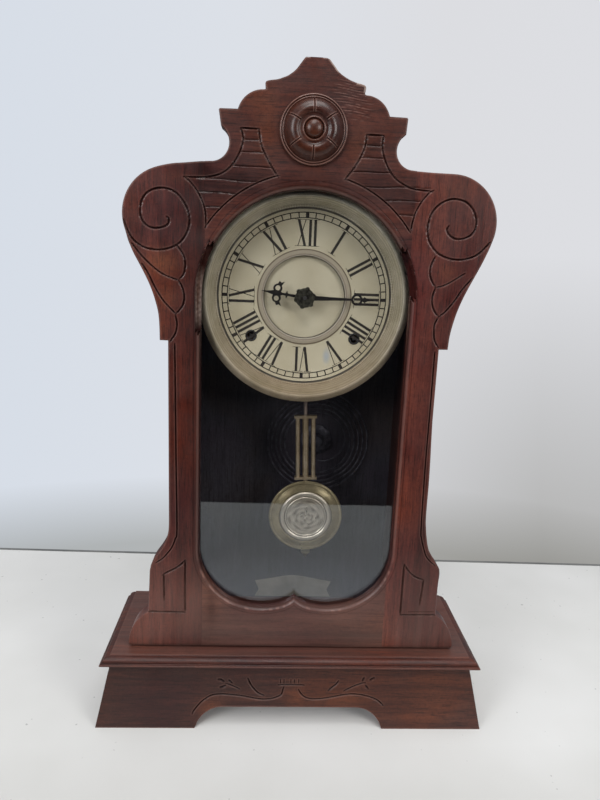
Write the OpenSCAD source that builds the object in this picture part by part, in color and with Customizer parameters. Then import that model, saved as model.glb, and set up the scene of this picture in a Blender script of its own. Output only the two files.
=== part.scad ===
// A carved shelf clock: shaped door front, raked base, dial, eight-day movement,
// pendulum and wire gong. Front faces -Y, the floor is z = 0, the middle is x = 0.

/* [Base] */
// Height of the base's flat top above the floor
base_height = 65.1; // [63:0.1:68]
// Height of the moulded board that covers the base
base_board = 7.4; // [6.5:0.1:8.5]
// Half width of the apron at its top
base_half_width = 160.8; // [158:0.2:164]
// Front of the apron at its top, behind which everything stands
base_front = -48.9; // [-51:0.1:-48]
// How far the apron leans out on its way down
apron_rake = 11.9; // [9:0.1:14]
// Thickness of the apron boards
apron_wall = 10; // [8:0.5:12]
// How far the board's moulding stands out past the apron
moulding_reach = 8.1; // [6:0.1:9]
// Height of the bracket cut-out under the front apron
cutout_height = 19; // [17:0.5:24]
// Half width of the bracket cut-out at the floor
cutout_half_width = 84.5; // [80:0.5:90]
// How far right of the clock's middle the cut-out's middle is
cutout_shift = -1.5; // [-2.5:0.1:2.5]
// Round corner of the bracket cut-out
cutout_round = 25; // [22:0.5:28]

/* [Case] */
// Height of the dial's centre above the floor
dial_height = 379.5; // [377:0.5:384]
// Half width of the case, outside
case_half_width = 104; // [103:0.2:106]
// Thickness of the side and top boards
case_wall = 9; // [7.5:0.5:10]
// Depth of the side boards from front edge to backboard
case_depth = 74; // [73:0.5:80]
// Thickness of the backboard
back_wall = 4; // [3:0.5:5]
// Top of the case above the dial's centre
case_rise = 100.5; // [100:0.25:102]

/* [Door] */
// Thickness of the door's boards
door_thickness = 16; // [15:0.25:17]
// Depth of the rabbet that holds the glass, from the back
rabbet_depth = 7; // [6:0.25:7.5]
// Half width of the glazed opening
opening_half_width = 85; // [84:0.2:86]
// How far the rabbet is wider than the opening
rabbet_reach = 7; // [6:0.25:8]
// Width and depth of the rounded edge round the opening
edge_round = 4.5; // [4:0.25:5]
// Thickness of the glass
glass_thickness = 2; // [1.6:0.1:2.5]
// Half width of the door between the shoulders and the feet
stile_half_width = 110.9; // [110:0.1:112]
// Radius of the turned rosette on the crest
rosette_radius = 26; // [24:0.25:27]
// How far the rosette stands out from the crest
rosette_height = 12; // [9:0.25:13]
// Radius of the door hinges' pins
hinge_pin = 0.9; // [0.8:0.05:1.1]
// Length of each door hinge
hinge_length = 30; // [26:1:36]

/* [Dial] */
// Gap between the bezel's rear rim and the case's sides
bezel_gap = 5.8; // [5.4:0.1:6.5]
// Height of the bezel's ridge in front of the dial
bezel_height = 19.2; // [17:0.2:20]
// How far the printed paper's edge lies inside the bezel's rear rim
paper_inset = 15.7; // [14.2:0.1:16.2]
// Outer radius of the nickel centre ring
ring_radius = 40.8; // [40:0.1:42]
// Width of the nickel centre ring
ring_width = 5.8; // [5:0.1:6.5]
// Depth of the sunk centre
sunk_depth = 3; // [2.5:0.1:3.2]
// Distance of each winding hole from the dial's middle, sideways
winding_x = 45; // [44.6:0.1:45.6]
// Drop of the winding holes below the dial's centre
winding_drop = 34.5; // [34:0.1:35]
// Radius of the winding holes' grommets
grommet_radius = 5; // [4.6:0.1:5.6]
// Minutes past twelve that the hands show
shown_minutes = 555; // [0:1:719]
// Length of the minute hand
minute_length = 62; // [58:0.5:64]
// Length of the hour hand
hour_length = 38; // [36:0.5:40]

/* [Movement] */
// Half width of the plates
plate_half_width = 54; // [53:0.5:58]
// Height of the plates above the dial's centre
plate_rise = 62.5; // [61:0.5:66]
// Drop of the plates below the dial's centre
plate_drop = 61.5; // [61:0.5:66]
// Thickness of the plates
plate_wall = 1.6; // [1.4:0.1:1.8]
// Space between the plates
plate_gap = 28.4; // [28:0.1:30]
// Radius of the pillars
pillar_radius = 3; // [2.5:0.1:3.5]
// Radius of the wheel arbors
arbor_radius = 1.3; // [1.1:0.05:1.5]
// Radius of the pivots at the arbors' ends
pivot_radius = 0.8; // [0.6:0.05:1]
// Thickness of the wheels
wheel_wall = 1.2; // [1:0.05:1.4]

/* [Pendulum] */
// Height of the pendulum's pivot above the dial's centre
pivot_rise = 50.5; // [50:0.1:51]
// Distance from the pivot to the middle of the bob
bob_drop = 254.6; // [246:0.2:260]
// Lean of the pendulum at rest, to the right
pendulum_lean = 2.2; // [-3:0.1:3]
// Radius of the bob
bob_radius = 34.6; // [32:0.2:36]
// Thickness of the bob
bob_thickness = 8; // [7:0.25:9]
// Length of the gridiron between its plates
grid_length = 60.8; // [56:0.2:64]
// Half width of the gridiron
grid_half_width = 10.2; // [9.5:0.1:11]

/* [Gong] */
// Sideways place of the gong's middle
gong_x = 20; // [16:0.5:24]
// Drop of the gong's middle below the dial's
gong_drop = 141.5; // [137:0.5:146]
// Radius of the gong's inner turn
gong_inner = 29.6; // [28:0.2:31]
// Radius of the gong's outer turn
gong_outer = 50.6; // [50:0.2:52]
// Turns of the gong's wire
gong_turns = 5; // [4:1:6]
// Radius of the gong's wire
wire_radius = 0.75; // [0.6:0.05:0.9]

/* [Hidden] */
$fn = 64;

// ---- clearances -------------------------------------------------------------------------
loose = 0.3;         // between pieces that only lie near one another
running = 0.05;      // round a pin or arbor that turns
door_gap = 0.5;      // between the door and the case's front edge
door_lift = 1.5;     // between the door's foot and the base

// ---- planes, front to back --------------------------------------------------------------
case_front = -21;
case_back = case_front + case_depth;
rear_lip = 4;         // the base runs on behind the case
board_back = case_back + back_wall + rear_lip;
door_back = case_front - door_gap;
door_front = door_back - door_thickness;
glass_back = door_back - rabbet_depth + glass_thickness;
dial_face = 0;                                  // front of the pan's plate
sheet = 0.8;                                    // thickness of the dial's sheet metal
paper = 0.3;                                    // thickness of the papers
plate_front = 14;
front_plate_back = plate_front + plate_wall;
back_plate_front = front_plate_back + plate_gap;
back_plate_back = back_plate_front + plate_wall;
pendulum_y = 7.5;
case_in = case_half_width - case_wall;
bezel_radius = case_in - bezel_gap;
paper_radius = bezel_radius - paper_inset;
apron_top = base_height - base_board;
case_top_z = dial_height + case_rise;
gong_z = dial_height - gong_drop;
gong_y = case_back - 9;
pivot_z = dial_height + pivot_rise;
board_half_width = base_half_width + moulding_reach;
board_front = base_front - moulding_reach;

// ---- drawing helpers --------------------------------------------------------------------
// Points along a round stretch, from angle a to angle b
function arc(cx, cz, r, a, b, n) =
    [for (i = [0:n]) [cx + r * cos(a + (b - a) * i / n), cz + r * sin(a + (b - a) * i / n)]];

// The same outline on the other side, in turning order
function mirrored(half) = [for (i = [len(half) - 1:-1:0]) [-half[i][0], half[i][1]]];

// Meeting point of two circles, on the left or the right of the line from p to q
function meet(p, r, q, s, side) =
    let (d = norm(q - p), u = (q - p) / d, a = (d * d + r * r - s * s) / (2 * d),
         h = sqrt(r * r - a * a))
    p + a * u + side * h * [-u[1], u[0]];

// Angle of the line from p to q
function bearing(p, q) = atan2(q[1] - p[1], q[0] - p[0]);

// Start angle of a wheel whose teeth fall between those of the wheel before it
function mesh_start(p, q, before, n, m) =
    bearing(p, q) + 180 - 180 / m + (bearing(p, q) - before) * n / m;

// A flat drawing stood up on the XZ plane, from y0 back to y1
module upright(y0, y1)
    translate([0, y1, 0]) rotate([90, 0, 0]) linear_extrude(y1 - y0) children();

// A rod along Y
module rod(x, z, r, y0, y1)
    translate([x, y1, z]) rotate([90, 0, 0]) cylinder(r = r, h = y1 - y0);

// A body turned about a line along Y; the profile's heights count towards the front
module turned(x, y, z)
    translate([x, y, z]) rotate([90, 0, 0]) rotate_extrude() children();

module ring_2d(r_out, r_in)
    difference() { circle(r_out); circle(r_in); }

// A board from corner to corner
module board(x0, x1, y0, y1, z0, z1)
    translate([x0, y0, z0]) cube([x1 - x0, y1 - y0, z1 - z0]);

// ---- the door's outline -----------------------------------------------------------------
foot_z = base_height + door_lift;
crest_top = dial_height + 179.5;

// Each side of the outline from the foot up to the crest's tip. The two were sawn by hand and
// differ, so each list below has the left side first, then the right.
foot_r = 36.8;
foot_x = 110.5;
foot_ease = 1.6;
flank_tips = [[117.6, -36.5], [118.7, -36.5]];
// middle over the dial, radius, first and last angle of each shoulder
shoulders = [[109.2, 61.5, 36.7, -20, 70], [111.4, 64, 37.7, -15, 90]];
// edge points as half-width and height: over the foot, then over the dial
flare_points = [
    [[127.8, 72.4], [127.2, 76], [126.2, 79.7], [123.2, 85.5], [119.6, 90.7], [116, 96.7],
     [113.4, 102.6], [111.8, 108.2], [111.1, 113.8], [stile_half_width, 121.4]],
    [[129.2, 62], [129.3, 78], [125.4, 84.4], [122.1, 90], [118.6, 95.8], [116.7, 101.5],
     [115.5, 107.2], [114.5, 112.8], [113.8, 118.5], [113.2, 124.1], [112.9, 135.4], [112.9, 158],
     [112.5, 178], [111.9, 195], [111.3, 215]]];
flank_points = [
    [[117.9, -23.4], [118.8, -13.8], [121.1, -4.4], [124.2, 4.9], [128.3, 14.1], [133, 23.2],
     [137.8, 32.2], [141.6, 41.2]],
    [[119.5, -24.8], [121.3, -14.9], [123.8, -5], [127.2, 4.8], [131.4, 14.6], [135.9, 24.3],
     [140.4, 34], [144.3, 43.6], [146, 48.3]]];
shoulder_tops = [[[115, 98.1], [107, 99.8], [98.8, 100.7], [85, 102.1]],
    [[96, 101.9], [85, 102.5]]];
necks = [[78, 116.8], [79.1, 116.8]];
neck_r = 14;
ear_x = 72.2;
ear_z = dial_height + 140.8;
lobe_tops = [[38.6, -5.3], [38.8, -5.6]];
lobe_top_r = 20;
crest_step = dial_height + 155.8;
// the ogee over the last step: half-width and rise
ogees = [
    [[37, 0], [37, 5.3], [28.3, 7.3], [24.4, 8.7], [20, 10.7], [15, 14.7], [11.4, 19.3], [8.8, 22.7]],
    [[37.9, 0], [37.9, 5.8], [30, 8], [24.6, 10], [18.2, 13.8], [14.6, 17.7], [11.4, 21.4],
     [10, 22.9]]];
tip_half_width = 7.8;
function above(z, points) = [for (p = points) [p[0], p[1] + z]];
function door_side(k) = let (s = shoulders[k], n = necks[k], t = lobe_tops[k]) concat(
    [[0, foot_z]],
    arc(foot_x + foot_r - foot_ease, foot_z + foot_ease, foot_ease, -90, 0, 3),
    arc(foot_x, foot_z + foot_ease, foot_r, 2, 59, 12),
    above(foot_z, flare_points[k]),
    above(dial_height, [[k == 0 ? stile_half_width : 111.3, flank_tips[k][1]], flank_tips[k]]),
    above(dial_height, flank_points[k]),
    arc(s[0], dial_height + s[1], s[2], s[3], s[4], 20),
    above(dial_height, shoulder_tops[k]),
    arc(n[0], dial_height + n[1], neck_r, 270, 123, 12),
    [[ear_x, ear_z - 1], [ear_x - 0.8, ear_z]],
    arc(t[0], ear_z + t[1], lobe_top_r, 16, 90, 10),
    above(crest_step, ogees[k]),
    [[tip_half_width, crest_top], [0, crest_top]]);

module door_outline()
    polygon(concat(door_side(1), mirrored(door_side(0))));

// The glazed opening: an arch above, two lobes and a cusp below; grow widens it all round
lobe_r = 55.5;
lobe_z = foot_z + 93.2;
module opening_outline(grow) {
    half = opening_half_width + grow;
    lobe_x = opening_half_width - lobe_r;
    r = lobe_r + grow;
    cusp_x = 12;
    cusp = [for (i = [0:5]) let (t = cusp_x * i / 5)
        [cusp_x - t, lobe_z - 52.7 - grow + 0.33 * t + 0.02875 * t * t]];
    side = concat(arc(0, dial_height, half, 90, 0, 32),
        arc(lobe_x, lobe_z, r, 0, -atan2(52.7, lobe_x - cusp_x), 24), cusp);
    polygon(concat(side, mirrored(side)));
}

// The rabbet behind it has a plain straight foot
module rabbet_outline(shrink) {
    half = opening_half_width + rabbet_reach - shrink;
    side = concat(arc(0, dial_height, half, 90, 0, 32), [[half, foot_z + 31.4 + shrink]]);
    polygon(concat(side, mirrored(side)));
}

// The whole door as one shape, from which each board takes its share
edge_steps = 3;
module door_blank()
    difference() {
        upright(door_front, door_back) door_outline();
        upright(door_front - 1, door_back + 1) opening_outline(0);
        for (i = [0:edge_steps - 1])
            upright(door_front - 1, door_front + edge_round * (1 - sin(90 * i / edge_steps)))
                opening_outline(edge_round * (1 - cos(90 * (i + 1) / edge_steps)));
        upright(door_back - rabbet_depth, door_back + 1) rabbet_outline(0);
    }

seam_x = 82;
module stile(side)
    intersection() {
        door_blank();
        board(side > 0 ? seam_x : -200, side > 0 ? 200 : -seam_x,
            door_front - 1, door_back + 1, 0, crest_top);
    }

module left_stile()
    color("saddlebrown") stile(-1);

module right_stile()
    color("saddlebrown") stile(1);

module crest_board()
    color("saddlebrown") intersection() {
        door_blank();
        board(-seam_x, seam_x, door_front - 1, door_back + 1, dial_height, crest_top + 1);
    }

module bottom_rail()
    color("sienna") intersection() {
        door_blank();
        board(-seam_x, seam_x, door_front - 1, door_back + 1, 0, dial_height);
    }

// Turned boss: bead ring, grooved dome, centre button
rosette_rise = 128.2;
rosette_z = dial_height + rosette_rise;
module rosette() {
    r = rosette_radius;
    h = rosette_height;
    color("peru") difference() {
        turned(0, door_front, rosette_z)
            polygon([[0, 0], [r, 0], [r, 0.14 * h], [0.962 * r, 0.24 * h], [0.9 * r, 0.25 * h],
                [0.862 * r, 0.12 * h], [0.823 * r, 0.4 * h], [0.731 * r, 0.68 * h],
                [0.615 * r, 0.83 * h], [0.481 * r, 0.8 * h], [0.346 * r, 0.55 * h],
                [0.292 * r, 0.5 * h], [0.246 * r, 0.35 * h], [0.231 * r, 0.9 * h],
                [0.154 * r, h], [0, h]]);
        for (a = [0:60:300])
            translate([0, door_front - 0.95 * h, rosette_z]) rotate([0, a, 0])
                translate([0, 0, 0.462 * r]) cylinder(r = 0.085 * r, h = 0.362 * r);
    }
}

module door_glass()
    color([0.8, 0.9, 0.9, 0.3]) upright(door_back - rabbet_depth, glass_back)
        rabbet_outline(loose);

bead_width = 4;
bead_depth = 3;
module glass_beads()
    color("sienna") upright(glass_back, glass_back + bead_depth) difference() {
        rabbet_outline(loose);
        rabbet_outline(loose + bead_width);
    }

// ---- door hinges and catch --------------------------------------------------------------
knuckle_r = hinge_pin + 1.4;
leaf = 1.2;
hinge_x = case_half_width + 3.2;
hinge_y = case_front + 2.4;
hinge_rises = [55, 25];   // over the base, and over the dial's middle
hinge_zs = [base_height + hinge_rises[0], dial_height + hinge_rises[1]];
door_leaf = 15;
case_leaf = 18;
knuckle_gap = 0.15;

// One third of the hinge: 0 below, 1 in the middle, 2 above
module knuckle(z, third, bore)
    translate([hinge_x, hinge_y, z + third * hinge_length / 3 + (third > 0 ? knuckle_gap : 0)])
        difference() {
            cylinder(r = knuckle_r, h = hinge_length / 3 - (third == 1 ? 2 : 1) * knuckle_gap);
            translate([0, 0, -1]) cylinder(r = bore, h = hinge_length);
        }

module door_hinge_leaves()
    color("goldenrod") for (z = hinge_zs) {
        knuckle(z, 1, hinge_pin + running);
        board(hinge_x + knuckle_r + 0.3, hinge_x + door_leaf, door_back, door_back + leaf, z,
            z + hinge_length);
        difference() {
            board(hinge_x, hinge_x + knuckle_r + 1, door_back, door_back + leaf,
                z + hinge_length / 3 + knuckle_gap, z + 2 * hinge_length / 3 - knuckle_gap);
            translate([hinge_x, hinge_y, z]) cylinder(r = knuckle_r - 0.4, h = hinge_length);
        }
    }

module case_hinge_leaves()
    color("goldenrod") for (z = hinge_zs) {
        board(case_half_width, case_half_width + leaf, hinge_y + knuckle_r + 0.2,
            hinge_y + case_leaf, z, z + hinge_length);
        for (third = [0, 2]) {
            knuckle(z, third, hinge_pin);
            translate([0, 0, z + third * hinge_length / 3 + (third > 0 ? knuckle_gap : 0)])
                difference() {
                    board(case_half_width, hinge_x, hinge_y + knuckle_r - 1, hinge_y
                        + knuckle_r + 0.4, 0, hinge_length / 3 - knuckle_gap);
                    translate([hinge_x, hinge_y, -1])
                        cylinder(r = knuckle_r - 0.2, h = hinge_length);
                }
        }
    }

module hinge_pins()
    color("gold") for (z = hinge_zs)
        translate([hinge_x, hinge_y, z]) {
            cylinder(r = hinge_pin, h = hinge_length);
            for (end = [-0.6, hinge_length])
                translate([0, 0, end]) cylinder(r = hinge_pin + 0.7, h = 0.6);
        }

// Brass tongue on the door; it passes outside the case's left side and the spring grips it
catch_rise = 185;
catch_z = base_height + catch_rise;
catch_height = 12;
tongue_reach = 12;
module catch_tongue()
    color("goldenrod") {
        board(-case_half_width - 6, -case_half_width - loose, door_back, door_back + 1, catch_z,
            catch_z + catch_height);
        board(-case_half_width - loose - 1, -case_half_width - loose, door_back,
            door_back + tongue_reach, catch_z, catch_z + catch_height);
    }

module catch_spring()
    color("gold") {
        board(-case_half_width - 0.8, -case_half_width, case_front + tongue_reach + 2.5,
            case_front + tongue_reach + 18, catch_z + 2, catch_z + catch_height - 2);
        translate([-case_half_width, case_front + tongue_reach, catch_z + 2])
            linear_extrude(catch_height - 4)
                polygon([[-0.8, 3], [-2.6, 0.6], [-2.6, -7], [-1.9, -7], [-1.9, 0.2],
                    [-0.1, 2.6], [-0.1, 3]]);
    }

// ---- the case ---------------------------------------------------------------------------
module case_side(side)
    mirror([side > 0 ? 0 : 1, 0, 0])
        board(case_in, case_half_width, case_front, case_back, base_height,
            case_top_z - case_wall);

module case_left_side()
    color("sienna") case_side(-1);

module case_right_side()
    color("sienna") case_side(1);

module case_top()
    color("sienna") board(-case_half_width, case_half_width, case_front, case_back,
        case_top_z - case_wall, case_top_z);

module backboard()
    color("rosybrown") board(-case_half_width, case_half_width, case_back,
        case_back + back_wall, base_height, case_top_z);

// Side blocks that carry the dial; the door's stiles hide them
lug_r = case_in - 2.8;
block_width = 13;
block_depth = 11;
block_height = 24;
module dial_blocks()
    color("burlywood") for (side = [0, 1])
        mirror([side, 0, 0]) difference() {
            board(case_in - block_width, case_in, dial_face + sheet,
                dial_face + sheet + block_depth, dial_height - block_height / 2,
                dial_height + block_height / 2);
            rod(lug_r, dial_height, screw_r, dial_face, dial_face + screw_length);
        }

// Blank paper with an arched top and swallow-tail ends
label_half = 39.5;
module paper_label()
    color("antiquewhite") upright(case_back - paper, case_back) translate([3, base_height])
        polygon(concat([[-label_half, 1], [label_half, 1], [label_half - 4, 9],
            [label_half, 18.5]], arc(0, -33, 58, 75, 105, 10),
            [[-label_half, 18.5], [-label_half + 4, 9]]));

// ---- the base ---------------------------------------------------------------------------
// Moulded board: a stack of steps that follow the moulding's round
module base_board_top()
    color("saddlebrown") for (s = [[0, 0.25, 0.02], [0.25, 0.5, 0], [0.5, 0.75, 0.28],
            [0.75, 1, 0.92]])
        board(-board_half_width + s[2] * moulding_reach, board_half_width - s[2] * moulding_reach,
            board_front + s[2] * moulding_reach, board_back, apron_top + s[0] * base_board,
            apron_top + s[1] * base_board);

// Side view of a raked board: upright at the top edge, leaning out to the floor
module rake_2d(wall)
    polygon([[0, 0], [wall, 0], [wall, apron_top], [apron_rake, apron_top]]);

mitre = base_half_width + base_front;
apron_rest = apron_wall + apron_rake;
front_foot = base_front - apron_rake;
half_foot = base_half_width + apron_rake;

module mitre_wedge(reach)
    linear_extrude(apron_top) polygon([[-mitre, 0], [mitre, 0],
        [mitre + reach, -reach], [-mitre - reach, -reach]]);

module cutout_2d()
    for (side = [-1, 1]) half_bracket(side);

cutout_x = cutout_half_width - cutout_round + 0.2;
module half_bracket(side) {
    translate([side * cutout_x, cutout_height - cutout_round]) circle(cutout_round);
    translate([side < 0 ? -cutout_x : 0, -cutout_round]) square([cutout_x,
        cutout_round + cutout_height]);
}

module front_apron()
    color("sienna") difference() {
        intersection() {
            translate([-half_foot, front_foot, 0]) rotate([90, 0, 90])
                linear_extrude(2 * half_foot) rake_2d(apron_rest);
            mitre_wedge(120);
        }
        upright(front_foot - 1, front_foot + apron_rest + 1) translate([cutout_shift, 0]) cutout_2d();
    }

module side_aprons()
    color("sienna") for (side = [0, 1])
        mirror([side, 0, 0]) difference() {
            translate([-half_foot, board_back, 0]) rotate([90, 0, 0])
                linear_extrude(board_back - front_foot) rake_2d(apron_rest);
            mitre_wedge(120);
        }

module glue_blocks()
    color("burlywood") for (side = [0, 1])
        mirror([side, 0, 0]) {
            x = half_foot - apron_rest;
            y = front_foot + apron_rest;
            board(x - 22, x, y, y + 22, 6, apron_top);
            board(x - 16, x, 10, 40, apron_top - 16, apron_top);
            board(x - 80, x - 50, y, y + 14, apron_top - 14, apron_top);
        }

// ---- the dial ---------------------------------------------------------------------------
screw_r = 1.2;
screw_length = 9;
lug_reach = 2.5;
lug_width = 10;
lug_turns = [0, 180];
sunk_r = ring_radius - ring_width;
pipe_r = 3;
flange_r = bezel_radius + 1.4;

module winding_holes(r)
    for (side = [-1, 1])
        translate([side * winding_x, dial_height - winding_drop]) circle(r);

module dial_pan()
    color("silver") {
        upright(dial_face, dial_face + sheet) difference() {
            union() {
                translate([0, dial_height]) circle(flange_r);
                for (a = lug_turns)
                    translate([0, dial_height]) rotate(a)
                        translate([bezel_radius - 4, -lug_width / 2])
                            square([lug_r + lug_reach - bezel_radius + 4, lug_width]);
            }
            translate([0, dial_height]) circle(sunk_r);
            winding_holes(grommet_radius - 0.8);
            for (a = lug_turns)
                translate([0, dial_height]) rotate(a) translate([lug_r, 0]) circle(screw_r);
        }
        turned(0, dial_face + sunk_depth + sheet, dial_height)
            polygon([[pipe_r + 0.8, 0], [sunk_r + sheet, 0], [sunk_r + sheet, sunk_depth],
                [sunk_r, sunk_depth], [sunk_r, sheet], [pipe_r + 0.8, sheet]]);
    }

// Spun sheet: beads at the dial, a cone out to the ridge, a band back to the rim
bezel_in = 75;
ridge_r = bezel_radius - 6.9;
rim_height = 0.74 * bezel_height;
bezel_wall = 0.7;
module bezel()
    color("lightgray") turned(0, dial_face, dial_height)
        polygon([[bezel_in, 0], [bezel_in + 3.5, 0], [ridge_r + bezel_wall, bezel_height - 2],
            [bezel_radius - bezel_wall, rim_height - 1], [bezel_radius - bezel_wall, 0],
            [bezel_radius, 0], [bezel_radius, rim_height], [bezel_radius - 0.6, rim_height + 1],
            [ridge_r + 2, bezel_height - 1], [ridge_r + 0.8, bezel_height],
            [ridge_r - 0.4, bezel_height - 0.6], [bezel_in + 2.2, 2.4], [bezel_in + 0.8, 2.2],
            [bezel_in, 1.2]]);

module dial_paper()
    color("ivory") upright(dial_face - paper, dial_face) difference() {
        translate([0, dial_height]) ring_2d(paper_radius, sunk_r);
        winding_holes(grommet_radius);
    }

module centre_paper()
    color("ivory") upright(dial_face + sunk_depth - paper, dial_face + sunk_depth)
        translate([0, dial_height]) ring_2d(sunk_r - loose, pipe_r + 1);

module centre_ring()
    color("silver") turned(0, dial_face - paper, dial_height)
        polygon([[sunk_r, 0], [ring_radius, 0], [ring_radius, 0.5], [ring_radius - 1, 1.2],
            [sunk_r + 2.4, 1.4], [sunk_r + 0.6, 1.1], [sunk_r, 0.6]]);

module grommets()
    color("dimgray") for (side = [-1, 1])
        turned(side * winding_x, dial_face + sheet, dial_height - winding_drop)
            polygon([[grommet_radius - 1.6, 0], [grommet_radius - 0.8, 0],
                [grommet_radius - 0.8, sheet], [grommet_radius, sheet],
                [grommet_radius, sheet + 0.6], [grommet_radius - 0.8, sheet + 1.1],
                [grommet_radius - 1.6, sheet + 0.8]]);

module dial_screws()
    color("goldenrod") for (side = [-1, 1]) {
        x = side * lug_r;
        rod(x, dial_height, screw_r, dial_face, dial_face + screw_length);
        turned(x, dial_face, dial_height) polygon([[0, 0], [2.4, 0], [2.0, 0.7], [0, 1.1]]);
    }

// ---- hands ------------------------------------------------------------------------------
hand_wall = 0.7;
hour_y = dial_face - 5;
minute_y = dial_face - 8;
minute_turn = 6 * (shown_minutes % 60);
hour_turn = shown_minutes / 2;
spindle_r = 2;

// Two pierced loops with barbs beside a thin spear, over a small barbed cross
loop_at = [4.1, 23.8];
module hour_hand_2d() {
    spear = [[1.4, 5], [1, 14.4], [3.4, 15.6], [1, 16.6], [0.9, 19], [1.7, 21], [1.9, 27.5],
        [0.8, hour_length - 6], [0, hour_length]];
    difference() {
        union() {
            circle(6.8);
            polygon(concat(spear, mirrored(spear)));
            for (side = [0, 1]) mirror([side, 0]) {
                translate(loop_at) circle(3.9);
                polygon([[5, 21.7], [7.2, 20.4], [10.6, 18.6], [9.2, 21.2], [10.4, 23.2],
                    [7.3, 24.6]]);
            }
        }
        circle(pipe_r - 0.5);
        for (side = [0, 1]) mirror([side, 0]) translate([loop_at[0] + 0.3, loop_at[1]])
            circle(2.1);
    }
}

module minute_hand_2d() {
    loop = minute_length - 17.4;
    difference() {
        union() {
            circle(6.5);
            polygon([[-2.1, 5], [2.1, 5], [0.9, loop - 4], [-0.9, loop - 4]]);
            translate([0, loop]) circle(4.9);
            polygon([[0, loop + 3], [2.6, loop + 6.6], [0, loop + 10], [-2.6, loop + 6.6]]);
            polygon([[-1.3, loop + 7], [1.3, loop + 7], [0, minute_length]]);
        }
        circle(spindle_r - 0.3);
        translate([0, loop]) circle(3.1);
    }
}

module hand(y, turn)
    translate([0, y, dial_height]) rotate([0, turn, 0]) rotate([90, 0, 0])
        linear_extrude(hand_wall) children();

module minute_hand()
    color("black") hand(minute_y, minute_turn) minute_hand_2d();

module hour_hand()
    color("black") hand(hour_y, hour_turn) hour_hand_2d();

// Nut with six low lobes on the spindle's end
module hand_nut()
    color("black") upright(minute_y - hand_wall - 1.4, minute_y - hand_wall)
        translate([0, dial_height]) difference() {
            union() {
                circle(8.2);
                for (a = [15:60:315]) rotate(a) translate([7.5, 0]) circle(2);
            }
            circle(spindle_r - 0.3);
        }

// ---- wheel work -------------------------------------------------------------------------
// Toothed outline; m is the pitch circle's diameter over the number of teeth
function tooth(a, step, points) = [for (p = points)
    [p[1] * cos(a + p[0] * step), p[1] * sin(a + p[0] * step)]];
module teeth_2d(n, m, start) {
    r = n * m / 2;
    points = [[-0.27, r - 1.35 * m], [-0.17, r - 0.25 * m], [-0.11, r + 0.45 * m],
        [-0.03, r + 0.9 * m], [0.03, r + 0.9 * m], [0.11, r + 0.45 * m],
        [0.17, r - 0.25 * m], [0.27, r - 1.35 * m]];
    polygon([for (i = [0:n - 1]) each tooth(start + i * 360 / n, 360 / n, points)]);
}

// Wheel with a rim, a hub, spokes and a bore
module wheel(at, y, n, m, start, bore, spokes) {
    r = n * m / 2 - 1.35 * m;
    rim = r - max(1.6, 0.09 * r);
    hub = bore + max(2.2, 0.16 * r);
    upright(y, y + wheel_wall) translate([at[0], at[1] + dial_height]) difference() {
        teeth_2d(n, m, start);
        circle(bore);
        if (spokes > 0) difference() {
            ring_2d(rim, hub);
            for (i = [0:spokes - 1])
                rotate(start + i * 360 / spokes) translate([0, -0.9]) square([rim + 1, 1.8]);
        }
    }
}

// Lantern pinion: round wires between two shrouds, on an arbor of radius r
shroud = 0.6;
module lantern(at, y0, y1, n, m, start, r) {
    pitch_r = n * m / 2;
    for (y = [y0, y1 - shroud])
        upright(y, y + shroud) translate([at[0], at[1] + dial_height])
            ring_2d(pitch_r + 0.9 * m, r);
    for (i = [0:n - 1])
        rod(at[0] + pitch_r * cos(start + i * 360 / n),
            dial_height + at[1] + pitch_r * sin(start + i * 360 / n), 0.26 * m,
            y0 + shroud / 2, y1 - shroud / 2);
}

// Arbor with a thinner pivot in each plate
module arbor(at) {
    x = at[0];
    z = at[1] + dial_height;
    rod(x, z, arbor_radius, front_plate_back + 0.2, back_plate_front - 0.2);
    rod(x, z, pivot_radius, plate_front - 0.3, back_plate_back + 0.3);
}

module collet(at, y0, y1, r, bore)
    upright(y0, y1) translate([at[0], at[1] + dial_height]) ring_2d(r, bore);

// Tooth counts and modules of each pair
great_n = 72;
second_pins = 12;
great_m = 0.72;
second_n = 60;
centre_pins = 12;
second_m = 0.8;
centre_n = 80;
third_pins = 8;
centre_m = 0.62;
third_n = 96;
escape_pins = 8;
third_m = 0.5;
escape_n = 30;
escape_r = 14;
strike_third_pins = 8;
pin_from_middle = 33;
strike_m = 0.8;
strike_n = 56;
fly_pins = 8;
fly_m = 0.6;

// Where the arbors stand, from the dial's centre
middle = [0, 0];
time_great = [winding_x, -winding_drop];
second_at = meet(time_great, (great_n + second_pins) * great_m / 2, middle,
    (second_n + centre_pins) * second_m / 2, -1);
escape_at = [0, pivot_rise - 19.8];
third_at = meet(middle, (centre_n + third_pins) * centre_m / 2, escape_at,
    (third_n + escape_pins) * third_m / 2, -1);
verge_at = [0, pivot_rise];
hammer_at = [2, -38];
strike_great = [-winding_x, -winding_drop];
pin_at = meet(strike_great, (great_n + second_pins) * great_m / 2, middle, pin_from_middle, 1);
strike_third = pin_at + (second_n + strike_third_pins) * strike_m / 2 * [cos(100), sin(100)];
fly_at = strike_third + (strike_n + fly_pins) * fly_m / 2 * [0, 1];

// Start angles, each from the wheel that drives it
second_start = mesh_start(time_great, second_at, 0, great_n, second_pins);
centre_start = mesh_start(second_at, middle, second_start, second_n, centre_pins);
third_start = mesh_start(middle, third_at, centre_start, centre_n, third_pins);
escape_start = mesh_start(third_at, escape_at, third_start, third_n, escape_pins);
pin_start = mesh_start(strike_great, pin_at, 0, great_n, second_pins);
strike_third_start = mesh_start(pin_at, strike_third, pin_start, second_n,
    strike_third_pins);
fly_start = mesh_start(strike_third, fly_at, strike_third_start, strike_n, fly_pins);

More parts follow.
